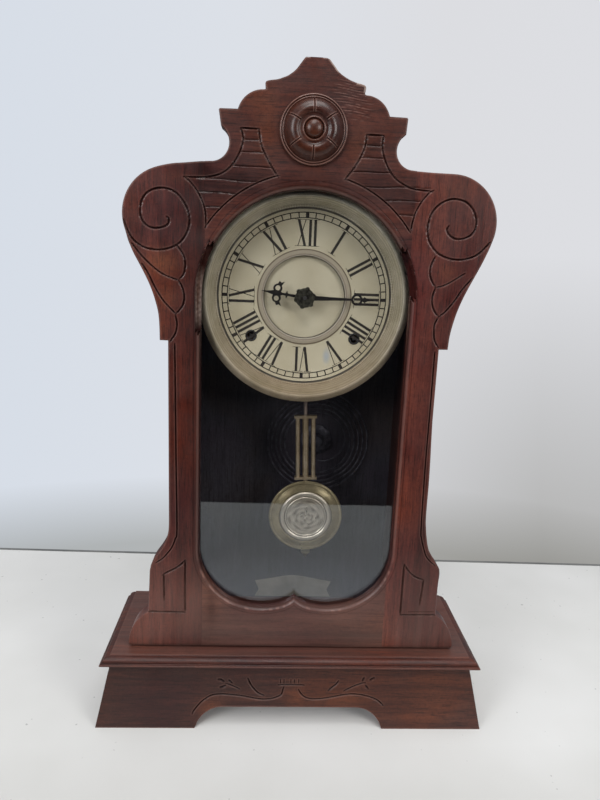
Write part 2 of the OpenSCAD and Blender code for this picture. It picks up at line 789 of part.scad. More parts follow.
// Levels between the plates
great_y = front_plate_back + 1.8;
second_y = great_y + 3.2;
centre_y = second_y + 4;
third_y = centre_y + 4;
escape_y = third_y + 5;
reach = 0.5;         // how far a lantern runs past its wheel on each side
module lantern_for(at, y, n, m, start, r)
    lantern(at, y - reach - shroud, y + wheel_wall + reach + shroud, n, m, start, r);

winding_r = 2.4;
great_bore = winding_r + running;
module great_wheel(at) {
    wheel(at, great_y, great_n, great_m, 0, great_bore, 5);
    // click and its rivet on the wheel's front
    click_y = great_y - 1.1;
    upright(click_y, great_y) translate([at[0], at[1] + dial_height])
        polygon([[11.5, -1.4], [14, -1.2], [14.6, 1], [12.4, 3.4], [8.7, 5.2], [8.2, 4.2],
            [10.8, 2]]);
}

module winding_arbor(at) {
    x = at[0];
    z = at[1] + dial_height;
    rod(x, z, winding_r, front_plate_back + 0.1, back_plate_front - 0.2);
    rod(x, z, winding_r - 0.4, plate_front - 0.4, back_plate_back + 0.3);
    // squared end that takes the key
    translate([x - 1.15, dial_face + 1, z - 1.15]) cube([2.3, plate_front - dial_face - 1, 2.3]);
    // ratchet
    upright(great_y - 1.1, great_y - 0.15) translate([x, z])
        polygon([for (i = [0:15]) each [[8 * cos(i * 22.5), 8 * sin(i * 22.5)],
            [6.4 * cos(i * 22.5 + 3), 6.4 * sin(i * 22.5 + 3)]]]);
}

module time_winding_arbor()
    color("silver") winding_arbor(time_great);

module strike_winding_arbor()
    color("silver") winding_arbor(strike_great);

module time_great_wheel()
    color("gold") great_wheel(time_great);

module strike_great_wheel()
    color("gold") great_wheel(strike_great);

module second_wheel()
    color("gold") {
        arbor(second_at);
        lantern_for(second_at, great_y, second_pins, great_m, second_start, arbor_radius - 0.3);
        wheel(second_at, second_y, second_n, second_m, second_start, arbor_radius - 0.3, 5);
    }

// The centre wheel and its lantern ride on the centre arbor by friction
module centre_wheel()
    color("gold") {
        lantern_for(middle, second_y, centre_pins, second_m, centre_start, spindle_r + running);
        wheel(middle, centre_y, centre_n, centre_m, centre_start, spindle_r + running, 5);
        collet(middle, second_y + wheel_wall + reach, centre_y, spindle_r + 1.2,
            spindle_r + running);
    }

module third_wheel()
    color("gold") {
        arbor(third_at);
        lantern_for(third_at, centre_y, third_pins, centre_m, third_start, arbor_radius - 0.3);
        wheel(third_at, third_y, third_n, third_m, third_start, arbor_radius - 0.3, 5);
    }

// Escape wheel with raked pointed teeth
module escape_wheel()
    color("gold") {
        arbor(escape_at);
        lantern_for(escape_at, third_y, escape_pins, third_m, escape_start, arbor_radius - 0.3);
        upright(escape_y, escape_y + wheel_wall)
            translate([0, escape_at[1] + dial_height]) difference() {
                polygon([for (i = [0:escape_n - 1]) let (a = i * 360 / escape_n)
                    each [[escape_r * cos(a), escape_r * sin(a)],
                        [(escape_r - 2.2) * cos(a + 2), (escape_r - 2.2) * sin(a + 2)],
                        [(escape_r - 2.2) * cos(a + 8), (escape_r - 2.2) * sin(a + 8)]]]);
                circle(arbor_radius - 0.3);
                difference() {
                    ring_2d(escape_r - 4, 4);
                    for (i = [0:4]) rotate(i * 72) translate([0, -0.7]) square([escape_r, 1.4]);
                }
            }
    }

// Bent strip verge over the escape wheel, with a crutch that guides the pendulum's rod
crutch_y = 10.6;
crutch_drop = 30;
module verge()
    color("silver") translate([0, 0, pivot_z]) rotate([0, -pendulum_lean, 0])
        translate([0, 0, -pivot_z]) {
            x = verge_at[0];
            rod(x, pivot_z, arbor_radius, front_plate_back + 0.2, back_plate_front - 0.2);
            rod(x, pivot_z, pivot_radius, crutch_y - 0.5, back_plate_back + 0.3);
            upright(escape_y, escape_y + wheel_wall) translate([0, pivot_z]) difference() {
                union() {
                    circle(2.6);
                    polygon([[-1, 2.4], [-13.6, -4.6], [-13.6, -9], [-12.2, -9.4],
                        [-12, -5.6], [0, -1.4], [12, -5.6], [12.2, -9.4], [13.6, -9],
                        [13.6, -4.6], [1, 2.4]]);
                }
                circle(arbor_radius - 0.3);
            }
            board(-0.7, 0.7, crutch_y, crutch_y + 0.8, pivot_z - crutch_drop, pivot_z + 1.4);
            for (side = [-1, 1])
                board(side > 0 ? fork_gap : -fork_gap - 0.8, side > 0 ? fork_gap + 0.8
                    : -fork_gap, pendulum_y - 2.5, crutch_y + 0.8, pivot_z - crutch_drop - 2,
                    pivot_z - crutch_drop);
            board(-fork_gap, fork_gap, crutch_y, crutch_y + 0.8, pivot_z - crutch_drop - 2,
                pivot_z - crutch_drop);
        }

// Pin wheel of the strike train, with pins that lift the hammer
pin_count = 12;
module pin_wheel()
    color("gold") {
        arbor(pin_at);
        lantern_for(pin_at, great_y, second_pins, great_m, pin_start, arbor_radius - 0.3);
        wheel(pin_at, second_y, second_n, second_m, pin_start, arbor_radius - 0.3, 5);
        for (i = [0:pin_count - 1])
            rod(pin_at[0] + 20.6 * cos(i * 360 / pin_count),
                pin_at[1] + dial_height + 20.6 * sin(i * 360 / pin_count), 0.5,
                second_y + 0.5, second_y + wheel_wall + 2);
    }

strike_third_y = third_y;
module strike_third_wheel()
    color("gold") {
        arbor(strike_third);
        lantern_for(strike_third, second_y, strike_third_pins, strike_m, strike_third_start,
            arbor_radius - 0.3);
        wheel(strike_third, strike_third_y, strike_n, fly_m, strike_third_start,
            arbor_radius - 0.3, 4);
    }

fly_half = 11;
module fly()
    color("silver") {
        x = fly_at[0];
        z = fly_at[1] + dial_height;
        arbor(fly_at);
        lantern_for(fly_at, strike_third_y, fly_pins, fly_m, fly_start, arbor_radius - 0.3);
        board(x - fly_half, x - arbor_radius + 0.3, strike_third_y + 4, back_plate_front - 2,
            z - 0.3, z + 0.3);
        board(x + arbor_radius - 0.3, x + fly_half, strike_third_y + 4, back_plate_front - 2,
            z - 0.3, z + 0.3);
    }

// Wound strips round the winding arbors, each run out to a bottom pillar
spring_turns = 6;
spring_steps = 24;
spring_r0 = 4.4;
spring_pitch = 2.6;
spring_wall = 0.5;
spring_end = spring_r0 + spring_pitch * spring_turns;
function spring_edge(r0) = [for (i = [0:spring_turns * spring_steps])
    let (a = i * 360 / spring_steps, r = r0 + spring_pitch * i / spring_steps)
    [r * cos(a), r * sin(a)]];
module spring_2d() {
    inner = spring_edge(spring_r0);
    outer = spring_edge(spring_r0 + spring_wall);
    to_pillar = norm(foot_pillar - time_great) - pillar_radius;
    rotate(bearing(time_great, foot_pillar)) {
        polygon(concat(outer, [for (i = [len(inner) - 1:-1:0]) inner[i]]));
        translate([spring_end, -spring_wall]) square([to_pillar - spring_end, spring_wall + 0.02]);
    }
}
module mainsprings()
    color("steelblue") for (side = [0, 1])
        mirror([side, 0, 0]) upright(second_y + 4, back_plate_front - 4)
            translate([winding_x, dial_height - winding_drop]) spring_2d();

// ---- motion work between the front plate and the dial ------------------------------------
cannon_n = 12;
minute_n = 36;
cannon_m = 0.75;
minute_pins = 10;
hour_n = 40;
hour_m = 0.72;
motion_y = plate_front - 2.1;
hour_wheel_y = motion_y - 2;
minute_at = (cannon_n + minute_n) * cannon_m / 2 * [cos(-60), sin(-60)];
minute_start = mesh_start(middle, minute_at, 0, cannon_n, minute_n);
hour_start = mesh_start(minute_at, middle, minute_start, minute_pins, hour_n);

// The arbor that carries the minute hand, with its cannon pinion and stop collets
module centre_arbor()
    color("silver") {
        rod(0, dial_height, spindle_r, hour_wheel_y - 5, back_plate_front - 0.2);
        rod(0, dial_height, spindle_r - 0.3, minute_y - hand_wall - 2.4, hour_wheel_y - 5);
        rod(0, dial_height, pivot_radius, back_plate_front - 0.3, back_plate_back + 0.3);
        wheel(middle, motion_y, cannon_n, cannon_m, 0, spindle_r - 0.3, 0);
        collet(middle, centre_y + wheel_wall + 0.1, centre_y + wheel_wall + 1.6,
            spindle_r + 1.4, spindle_r - 0.3);
    }

stud_r = 1;
module minute_wheel()
    color("gold") {
        wheel(minute_at, motion_y, minute_n, cannon_m, minute_start, stud_r + running, 4);
        wheel(minute_at, hour_wheel_y, minute_pins, hour_m, minute_start,
            stud_r + running, 0);
        collet(minute_at, hour_wheel_y + wheel_wall, motion_y, stud_r + 0.8, stud_r + running);
    }

// The hour wheel and the pipe that carries the hour hand over the centre arbor
module hour_wheel()
    color("gold") {
        wheel(middle, hour_wheel_y, hour_n, hour_m, hour_start, spindle_r + running, 4);
        collet(middle, hour_y, hour_wheel_y, pipe_r, spindle_r + running);
        collet(middle, hour_y - hand_wall - 0.4, hour_y, pipe_r - 0.5, spindle_r + running);
    }

// ---- plates and pillars -----------------------------------------------------------------
pillar_x = plate_half_width - 5;
foot_pillar = [16, 4.5 - plate_drop];
pillar_places = [[-pillar_x, plate_rise - 5.5], [pillar_x, plate_rise - 5.5],
    [-foot_pillar[0], foot_pillar[1]], foot_pillar];
train_places = [second_at, third_at, escape_at, verge_at, pin_at, strike_third, fly_at,
    hammer_at];

module plate_2d()
    difference() {
        translate([-plate_half_width, dial_height - plate_drop])
            square([2 * plate_half_width, plate_drop + plate_rise]);
        for (p = train_places)
            translate([p[0], p[1] + dial_height]) circle(pivot_radius + running);
        for (side = [-1, 1]) {
            translate([side * winding_x, dial_height - winding_drop])
                circle(winding_r - 0.4 + running);
            translate([side * 45, dial_height + 30]) circle(6);
            translate([side * 44, dial_height - 6]) circle(4);
        }
    }

module front_plate()
    color("gold") upright(plate_front, front_plate_back) difference() {
        plate_2d();
        translate([0, dial_height]) circle(spindle_r + running);
    }

module back_plate()
    color("gold") upright(back_plate_front, back_plate_back) difference() {
        plate_2d();
        translate([0, dial_height]) circle(pivot_radius + running);
    }

// Pillars between the plates, run on as feet to the backboard; the stud of the minute wheel
module pillars()
    color("goldenrod") {
        for (p = pillar_places) {
            rod(p[0], p[1] + dial_height, pillar_radius, front_plate_back, back_plate_front);
            rod(p[0], p[1] + dial_height, pillar_radius, back_plate_back, case_back);
        }
        rod(minute_at[0], minute_at[1] + dial_height, stud_r, hour_wheel_y - 0.8, plate_front);
        rod(minute_at[0], minute_at[1] + dial_height, stud_r + 0.6, hour_wheel_y - 0.8,
            hour_wheel_y - 0.1);
    }

module movement_screws()
    color("silver") for (p = pillar_places)
        turned(p[0], plate_front, p[1] + dial_height)
            polygon([[0, 0], [2.8, 0], [2.8, 0.8], [2.2, 1.4], [0, 1.4]]);

// ---- pendulum ---------------------------------------------------------------------------
fork_gap = 1.6;
hook_pin = 0.7;
wire_r = 0.8;
chop_r = 3;
rod_r = 1.7;
eye_r = 9;
bob_z = pivot_z - bob_drop;
seat = 0.6;          // how far the bob's seats stand past its rim
grid_bottom = bob_z + bob_radius + 2;
grid_top = grid_bottom + grid_length;
grid_plate = 2.4;

module leaning()
    translate([0, 0, pivot_z]) rotate([0, -pendulum_lean, 0]) translate([0, 0, -pivot_z])
        children();

// Post with a pin that carries the suspension
module suspension_post()
    color("goldenrod") {
        post_z = pivot_z + 8;
        rod(0, post_z, 2, pendulum_y - 3, plate_front);
        board(-1.6, 1.6, pendulum_y - 3, pendulum_y - 2, pivot_z - 1.6, post_z);
        rod(0, pivot_z, hook_pin, pendulum_y - 2.5, pendulum_y + 1.6);
    }

// Suspension chop, spring strip, and wire with a ring that clears the hands' pipe
module pendulum_rod()
    color("silver") leaning() {
        difference() {
            union() {
                rod(0, pivot_z, chop_r, pendulum_y - 0.9, pendulum_y + 0.9);
                board(-1.8, 1.8, pendulum_y - 0.9, pendulum_y + 0.9, pivot_z - 5, pivot_z - 2);
            }
            rod(0, pivot_z, hook_pin + running, pendulum_y - 2, pendulum_y + 2);
        }
        board(-1.8, 1.8, pendulum_y - 0.15, pendulum_y + 0.15, pivot_z - 20, pivot_z - 5);
        board(-1.3, 1.3, pendulum_y - 0.8, pendulum_y + 0.8, pivot_z - 24, pivot_z - 20);
        translate([0, pendulum_y, dial_height + eye_r])
            cylinder(r = wire_r, h = pivot_rise - 24 - eye_r + 0.2);
        turned(0, pendulum_y, dial_height) translate([eye_r, 0]) circle(wire_r);
        translate([0, pendulum_y, grid_top + 26])
            cylinder(r = wire_r, h = dial_height - eye_r - grid_top - 26);
        translate([0, pendulum_y, grid_top])
            cylinder(r = rod_r, h = 26.2);
    }

// Two brass side rods and a steel middle rod between two plates
module gridiron()
    color("goldenrod") leaning() {
        for (z = [grid_bottom, grid_top - grid_plate])
            board(-grid_half_width, grid_half_width, pendulum_y - 2.6, pendulum_y + 2.6, z,
                z + grid_plate);
        for (side = [-1, 1])
            translate([side * (grid_half_width - 3), pendulum_y, grid_bottom + grid_plate])
                cylinder(r = 2, h = grid_length - 2 * grid_plate);
        translate([0, pendulum_y, grid_bottom + grid_plate])
            cylinder(r = 2.7, h = grid_length - 2 * grid_plate);
        translate([0, pendulum_y, bob_z + bob_radius + seat])
            cylinder(r = 2, h = grid_bottom - bob_z - bob_radius - seat);
    }

// Pressed bob: rolled rim, dished flange, bead, raised ring and a shallow middle
module bob() {
    r = bob_radius;
    t = bob_thickness / 2;
    color("gold") leaning() {
        turned(0, pendulum_y, bob_z)
            polygon([[0, -t], [r - 8, -t], [r - 2, -0.9], [r, -0.5], [r, 0.5],
                [r - 1.2, 1.3], [r - 2.6, 0.9], [r - 5, 1.3], [r - 9, t - 1.2],
                [r - 9.8, t - 0.2], [r - 11, t], [r - 14.4, t], [r - 15.4, t - 0.8],
                [r - 16.2, t - 0.4], [0, t - 0.4]]);
        // flat seats for the gridiron's stem and the rating screw
        for (z = [bob_z - r - seat, bob_z + r - 2])
            board(-2.2, 2.2, pendulum_y - 1.8, pendulum_y + 1.8, z, z + 2 + seat);
    }
}

module rating_nut()
    color("goldenrod") leaning() {
        translate([0, pendulum_y, bob_z - bob_radius - seat - 3]) rotate_extrude()
            polygon([[0, -4.4], [0.8, -3.4], [2, -1.2], [4.2, 1.2], [4.6, 1.8], [4.6, 2.5], [1.1, 2.5],
                [1.1, 3], [0, 3]]);
    }

// ---- hammer and gong --------------------------------------------------------------------
hammer_y = back_plate_front - 6;
hammer_wire = 0.9;
hammer_head = 3.6;
// the head hangs a little above the gong's outer turn
hammer_gap = 1.5;
hammer_drop = hammer_at[1] + dial_height - gong_z - sqrt(pow(gong_outer + wire_radius
    + hammer_head + hammer_gap, 2) - pow(gong_x - hammer_at[0], 2));
tail = 17;
tail_turn = bearing(hammer_at, pin_at);
module hammer()
    color("silver") {
        x = hammer_at[0];
        z = hammer_at[1] + dial_height;
        arbor(hammer_at);
        rod(x, z, 2.6, hammer_y - 1.5, hammer_y + 1.5);
        translate([x, hammer_y, z - hammer_drop]) cylinder(r = hammer_wire, h = hammer_drop);
        rod(x, z - hammer_drop, hammer_head, hammer_y - 2, gong_y + 2);
        // tail towards the pins of the pin wheel
        upright(second_y + wheel_wall + 0.7, second_y + wheel_wall + 1.7) translate([x, z]) {
            circle(2.4);
            rotate(tail_turn) translate([0, -0.7]) square([tail, 1.4]);
        }
    }

// The wire: a short lead-in from the block, then even turns outwards
gong_rings = 24;
gong_sides = 6;
lead_rings = 15;
lead_from = 9;
gong_start = 200;
gong_pitch = (gong_outer - gong_inner) / gong_turns;
gong_last = lead_rings + gong_turns * gong_rings;
function gong_r(i) = i < lead_rings
    ? lead_from + (gong_inner - lead_from) * sin(90 * i / lead_rings)
    : gong_inner + gong_pitch * (i - lead_rings) / gong_rings;
function gong_point(i) = let (a = gong_start + i * 360 / gong_rings)
    [gong_x + gong_r(i) * cos(a), gong_y, gong_z + gong_r(i) * sin(a)];
function gong_ring(i) = let (c = gong_point(i),
    d = gong_point(min(gong_last, i + 1)) - gong_point(max(0, i - 1)),
    f = d / norm(d), s = cross([0, 1, 0], f))
    [for (k = [0:gong_sides - 1]) let (b = k * 360 / gong_sides)
        c + wire_radius * (cos(b) * s + sin(b) * [0, 1, 0])];
gong_points = [for (i = [0:gong_last]) each gong_ring(i)];
gong_faces = concat(
    [for (i = [0:gong_last - 1], k = [0:gong_sides - 1]) let (n = (k + 1) % gong_sides,
        a = i * gong_sides + k, b = i * gong_sides + n) each [[a, b, b + gong_sides],
        [a, b + gong_sides, a + gong_sides]]],
    [for (k = [1:gong_sides - 2]) [0, k + 1, k]],
    [for (k = [1:gong_sides - 2]) let (e = gong_last * gong_sides) [e, e + k, e + k + 1]]);
gong_gaps = [for (i = [0:gong_last], j = [i + 6:gong_last])
    norm(gong_point(i) - gong_point(j)) - 2 * wire_radius];
echo(least_gap_of_gong = min(gong_gaps));

module gong_coil()
    color("dimgray") polyhedron(gong_points, gong_faces, convexity = 10);

module gong_block()
    color("dimgray") {
        tip = gong_point(0);
        turned(gong_x, case_back, gong_z)
            polygon([[0, 0], [15, 0], [15, 2], [11, 3.6], [7.5, 4.2], [6.4, 5.2],
                [6.4, case_back - gong_y + 2.5], [5.2, case_back - gong_y + 3.5],
                [0, case_back - gong_y + 3.5]]);
        translate([tip[0], 0, tip[2]]) rotate([0, -gong_start, 0]) difference() {
            board(-3.6, 0.6, gong_y - 2, gong_y + 2, -1.9, 1.9);
            translate([-0.2, gong_y, -3]) cylinder(r = wire_radius + 0.02, h = 6);
        }
    }

left_stile();
right_stile();
crest_board();
bottom_rail();
rosette();
door_glass();
glass_beads();
door_hinge_leaves();
catch_tongue();
case_left_side();
case_right_side();
case_top();
backboard();
case_hinge_leaves();
hinge_pins();
catch_spring();
dial_blocks();
paper_label();
base_board_top();
front_apron();
side_aprons();
glue_blocks();
dial_pan();
bezel();
dial_paper();
centre_paper();
centre_ring();
grommets();
dial_screws();
minute_hand();
hour_hand();
hand_nut();
front_plate();
back_plate();
pillars();
movement_screws();
centre_arbor();
minute_wheel();
hour_wheel();
time_winding_arbor();
strike_winding_arbor();
mainsprings();
time_great_wheel();
second_wheel();
centre_wheel();
third_wheel();
escape_wheel();
verge();
strike_great_wheel();
pin_wheel();
strike_third_wheel();
fly();
suspension_post();
pendulum_rod();
gridiron();
bob();
rating_nut();
hammer();
gong_coil();
gong_block();
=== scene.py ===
import math

import bpy
import numpy as np
from mathutils import Matrix


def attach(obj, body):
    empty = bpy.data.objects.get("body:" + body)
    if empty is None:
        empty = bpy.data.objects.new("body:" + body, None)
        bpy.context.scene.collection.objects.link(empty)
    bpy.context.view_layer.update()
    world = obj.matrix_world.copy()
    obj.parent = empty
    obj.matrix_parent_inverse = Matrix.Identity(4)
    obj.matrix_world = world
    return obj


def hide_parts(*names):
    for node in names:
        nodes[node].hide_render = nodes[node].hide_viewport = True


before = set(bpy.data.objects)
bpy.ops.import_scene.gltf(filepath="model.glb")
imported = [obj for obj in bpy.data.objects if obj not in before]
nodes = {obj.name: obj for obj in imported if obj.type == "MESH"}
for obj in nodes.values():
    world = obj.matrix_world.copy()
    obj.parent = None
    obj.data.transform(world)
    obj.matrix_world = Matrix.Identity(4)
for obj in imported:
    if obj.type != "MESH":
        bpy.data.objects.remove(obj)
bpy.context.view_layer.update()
scene = bpy.context.scene


# ---- The view ------------------------------------------------------------------------------
# The photograph was taken by hand from a little left of the clock and above it, turned by two
# degrees. The lens and the place come from a fit of the clock's edges in the photograph.
lens_px, picture_high, sensor = 637.675, 800, 36
roll, pitch, yaw = 0.040869, 0.216922, -0.051514
eye = (-0.02872, -0.55557, 0.41135)
across = np.array([math.cos(yaw), math.sin(yaw), 0])
ahead = np.array([-math.sin(yaw), math.cos(yaw), 0])
upward = np.array([0, 0, 1])
sight = math.cos(pitch) * ahead - math.sin(pitch) * upward
above = math.sin(pitch) * ahead + math.cos(pitch) * upward
right = math.cos(roll) * across + math.sin(roll) * above
top = math.cos(roll) * above - math.sin(roll) * across


def stood(name, data, side, up, behind, place):
    """An object in the scene whose three axes are the given ones, at a place in metres."""
    made = bpy.data.objects.new(name, data)
    axes = np.eye(4)
    axes[:3] = np.stack([side, up, behind, place], 1)
    made.matrix_world = Matrix(axes.tolist())
    scene.collection.objects.link(made)
    return made


camera = stood("view", bpy.data.cameras.new("view"), right, top, -sight, eye)
camera.data.lens = lens_px * sensor / picture_high
camera.data.sensor_width = sensor
camera.data.clip_start, camera.data.clip_end = 0.01, 50
scene.camera = camera
scene.view_settings.view_transform = "Standard"


# ---- Studio and table ----------------------------------------------------------------------
# A pale laminate table with a faint line where it meets the wall, under two wide soft lamps
# and with pale light from both sides. The room towards the camera is dark, as the glass shows.
def paint(red, green, blue):
    """The linear colour of a screen colour given in 0 to 255."""
    part = np.array([red, green, blue]) / 255
    lit = np.where(part > 0.04045, ((part + 0.055) / 1.055) ** 2.4, part / 12.92)
    return (*lit.tolist(), 1)


def plug(tree, node, **sockets):
    """Sets or links a node's sockets by name, or by number for a name such as i6."""
    for key, value in sockets.items():
        numbered = key[0] == "i" and key[1:].isdigit()
        socket = node.inputs[int(key[1:]) if numbered else key.replace("_", " ")]
        if isinstance(value, bpy.types.NodeSocket):
            tree.links.new(value, socket)
        else:
            socket.default_value = value


def wire(tree, kind, props=None, **sockets):
    """Adds a shader node, and sets its properties and its sockets."""
    made = tree.nodes.new("ShaderNode" + kind)
    for key, value in (props or {}).items():
        setattr(made, key, value)
    plug(tree, made, **sockets)
    return made


def mapped(tree, amount, low, high, first=0, last=1):
    """An amount whose range from low to high is laid onto the one from first to last."""
    return wire(tree, "MapRange", i0=amount, i1=low, i2=high, i3=first, i4=last).outputs[0]


def mixed(tree, amount, under, over, way="MIX"):
    """One colour laid over another by an amount, in one of the blend types."""
    return wire(tree, "MixRGB", {"blend_type": way}, Fac=amount, Color1=under,
                Color2=over).outputs[0]


def ramp(tree, amount, *stops):
    """A colour ramp on an amount; each stop is (place, colour)."""
    made = wire(tree, "ValToRGB", Fac=amount)
    points = made.color_ramp.elements
    while len(points) < len(stops):
        points.new(0.5)
    for point, stop in zip(points, stops):
        point.position = stop[0]
    for point, stop in zip(points, stops):
        point.color = stop[1]
    return made.outputs["Color"]


room = bpy.data.worlds.new("studio")
room.use_nodes = True
scene.world = room
sky = room.node_tree
sky.nodes.clear()
look = wire(sky, "TexCoord").outputs["Generated"]
parts = wire(sky, "SeparateXYZ", Vector=look).outputs
# Painted light: the backdrop seen from the camera is bluish towards the left, where daylight falls.
side_way = mapped(sky, parts["X"], -0.45, 0.45)
wall = ramp(sky, side_way, (0, paint(214, 221, 231)), (0.45, paint(220, 224, 231)),
            (0.75, paint(220, 221, 225)), (1, paint(221, 222, 226)))
# Painted shade along the foot of the wall.
low = mapped(sky, parts["Z"], -0.42, -0.33)
foot = ramp(sky, low, (0, paint(206, 205, 199)), (1, paint(255, 255, 255)))
seen = mixed(sky, 1, wall, foot, "MULTIPLY")
# Painted shade towards the lower right of the wall.
right_way = mapped(sky, parts["X"], 0.08, 0.4)
climb = mapped(sky, parts["Z"], -0.34, 0.02)
painted_corner_shade = ramp(sky, climb, (0, paint(212, 211, 207)), (1, paint(255, 255, 255)))
seen = mixed(sky, right_way, seen, painted_corner_shade, "MULTIPLY")
height = mapped(sky, parts["Z"], -1, 1)
dome = ramp(sky, height, (0, paint(120, 118, 116)), (0.46, paint(140, 140, 142)),
            (0.62, paint(205, 208, 214)), (1, paint(236, 240, 246)))
near = mapped(sky, parts["Y"], -0.75, -0.1)
dim = ramp(sky, near, (0, paint(62, 60, 64)), (1, paint(255, 255, 255)))
lit = mixed(sky, 1, dome, dim, "MULTIPLY")
straight = wire(sky, "LightPath").outputs["Is Camera Ray"]
both = wire(sky, "MixShader", i0=straight,
            i1=wire(sky, "Background", Color=lit, Strength=0.6).outputs[0],
            i2=wire(sky, "Background", Color=seen, Strength=1.0).outputs[0])
wire(sky, "OutputWorld", Surface=both.outputs[0])


def lamp(name, place, aim, size, power, colour):
    """A square soft lamp at a place, facing a point, with its watts."""
    toward = np.array(aim, float) - np.array(place, float)
    behind = -toward / np.linalg.norm(toward)
    side = np.cross(upward, behind)
    side /= np.linalg.norm(side)
    light = bpy.data.lights.new(name, "AREA")
    light.size, light.energy, light.color = size, power, colour
    stood(name, light, side, np.cross(behind, side), behind, place)


lamp("ceiling_lamp", (0.1, -0.25, 2.0), (0, 0, 0.3), 1.3, 16, (1, 0.985, 0.96))
lamp("left_window", (-1.45, -1.55, 1.0), (0, 0, 0.35), 0.9, 25, (0.97, 0.985, 1))
lamp("right_window", (1.45, -1.6, 1.05), (0, 0, 0.35), 0.9, 21, (1, 0.985, 0.96))
lamp("top_front_lamp", (-0.1, -1.5, 2.2), (0, 0, 0.35), 0.8, 16, (1, 0.985, 0.96))


marks = {}


def solid(name, points, faces, material, body=None, sharp=32):
    """A mesh piece from points in millimetres and a list of whole arrays of corner numbers, one
    array for each number of corners. Points that meet are joined, faces that close up are left
    out, and the shell is turned so that its volume is positive. The numbers of the points that
    stay go to marks."""
    points = np.asarray(points, float)
    key = np.round(points * 2000).astype(np.int64)
    _, first, joined = np.unique(key, axis=0, return_index=True, return_inverse=True)
    joined = joined.ravel()
    points = points[first]
    clean = []
    for group in faces:
        group = joined[np.asarray(group)]
        same = group == np.roll(group, -1, axis=1)
        clean.append(group[~same.any(1)])
        if group.shape[1] == 4:
            once = group[same.sum(1) == 1]
            keep = ~(once == np.roll(once, -1, axis=1))
            if len(once):
                three = once[keep].reshape(-1, 3)
                clean.append(three[(three != np.roll(three, -1, axis=1)).all(1)])
        elif same.any():
            clean += [row[~gone][None] for row, gone in zip(group, same) if gone.any()]
    clean = [group for group in clean if len(group)]
    volume = sum((points[group[:, :1]] * np.cross(points[group[:, 1:-1]],
                                                  points[group[:, 2:]])).sum() for group in clean)
    if volume < 0:
        clean = [group[:, ::-1] for group in clean]
    corners = np.concatenate([group.ravel() for group in clean])
    sizes = np.concatenate([np.full(len(group), group.shape[1]) for group in clean])
    mesh = bpy.data.meshes.new(name)
    mesh.vertices.add(len(points))
    mesh.vertices.foreach_set("co", (points / 1000).astype(np.float32).ravel())
    mesh.loops.add(len(corners))
    mesh.loops.foreach_set("vertex_index", corners.astype(np.int32))
    mesh.polygons.add(len(sizes))
    mesh.polygons.foreach_set("loop_start", (np.cumsum(sizes) - sizes).astype(np.int32))
    mesh.update(calc_edges=True)
    mesh.validate()
    mesh.polygons.foreach_set("use_smooth", np.ones(len(mesh.polygons), bool))
    mesh.set_sharp_from_angle(angle=math.radians(sharp))
    mesh.materials.append(material)
    made = bpy.data.objects.new(name, mesh)
    scene.collection.objects.link(made)
    if body:
        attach(made, body)
    marks[name] = first
    return made


def net(rows, columns, around=False):
    """Corner numbers of the quads between a grid's rows and columns, closed round if asked."""
    a = np.arange(rows - 1)[:, None] * columns
    b = np.arange(columns if around else columns - 1)[None]
    c = (b + 1) % columns
    return np.stack([a + b, a + c, a + columns + c, a + columns + b], -1).reshape(-1, 4)


def closed(rows, columns, start=0):
    """Faces of a tube of rows: the quads between them, closed round, and a cap at both ends."""
    first = np.arange(columns)[None] + start
    return [net(rows, columns, True) + start, first[:, ::-1], first + (rows - 1) * columns]


def grid(x, y, z):
    """Points from three coordinates, each a number or an array, spread over one shape."""
    return np.stack(np.broadcast_arrays(x, y, z), -1)


def finish(name, tree_maker):
    """A new material whose nodes are wired by a function of its tree and surface shader."""
    made = bpy.data.materials.new(name)
    made.use_nodes = True
    tree = made.node_tree
    tree.nodes.clear()
    surface = wire(tree, "BsdfPrincipled")
    wire(tree, "OutputMaterial", Surface=surface.outputs[0])
    tree_maker(tree, surface)
    return made


def spots(tree, scale, detail=2.0, stretch=(1, 1, 1), rough=0.5, turn=(0, 0, 0), twist=0.0):
    """Soft noise on the piece's own coordinates, stretched by a Mapping node; 0 to 1."""
    place = wire(tree, "TexCoord").outputs["Object"]
    laid = wire(tree, "Mapping", Vector=place, Scale=stretch, Rotation=turn)
    return wire(tree, "TexNoise", Vector=laid.outputs[0], Scale=scale, Detail=detail,
                Roughness=rough, Distortion=twist).outputs[0]


def bumped(tree, surface, height, depth, strength=0.5):
    """Joins a height to the surface's normal; depth is in metres."""
    made = wire(tree, "Bump", Height=height, Distance=depth, Strength=strength)
    plug(tree, surface, Normal=made.outputs[0])


def laminate(tree, surface):
    """Pale table top with faint mottling and a few dark specks."""
    base = ramp(tree, spots(tree, 6, 3), (0.3, paint(208, 208, 206)), (0.7, paint(218, 218, 217)))
    speck = ramp(tree, spots(tree, 170, 1), (0.76, paint(255, 255, 255)),
                 (0.79, paint(150, 150, 152)))
    base = mixed(tree, 0.5, base, speck, "MULTIPLY")
    depth = wire(tree, "SeparateXYZ", Vector=wire(tree, "TexCoord").outputs["Object"]).outputs["Y"]
    # Painted shadow: the table top darkens towards its front edge.
    near_edge = mapped(tree, depth, -0.34, -0.08)
    painted_light_and_shade = ramp(tree, near_edge, (0, paint(184, 182, 176)), (1, paint(255, 255, 255)))
    plug(tree, surface, Base_Color=mixed(tree, 1, base, painted_light_and_shade, "MULTIPLY"), Roughness=0.6,
         Specular_IOR_Level=0.3)


table_edge, table_back, table_end, table_thick = -532, np.array([214, 346]), 3000, 30
table_x = table_end * np.array([-1, 1, 1, -1] * 2)
table_y = np.array([table_edge, table_edge, *table_back] * 2)
table_z = np.array([0] * 4 + [-table_thick] * 4)
slab = [[0, 1, 2, 3], [7, 6, 5, 4], [0, 4, 5, 1], [1, 5, 6, 2], [2, 6, 7, 3], [3, 7, 4, 0]]
table = solid("table_top", grid(table_x, table_y, table_z), [slab],
              finish("table_laminate", laminate))


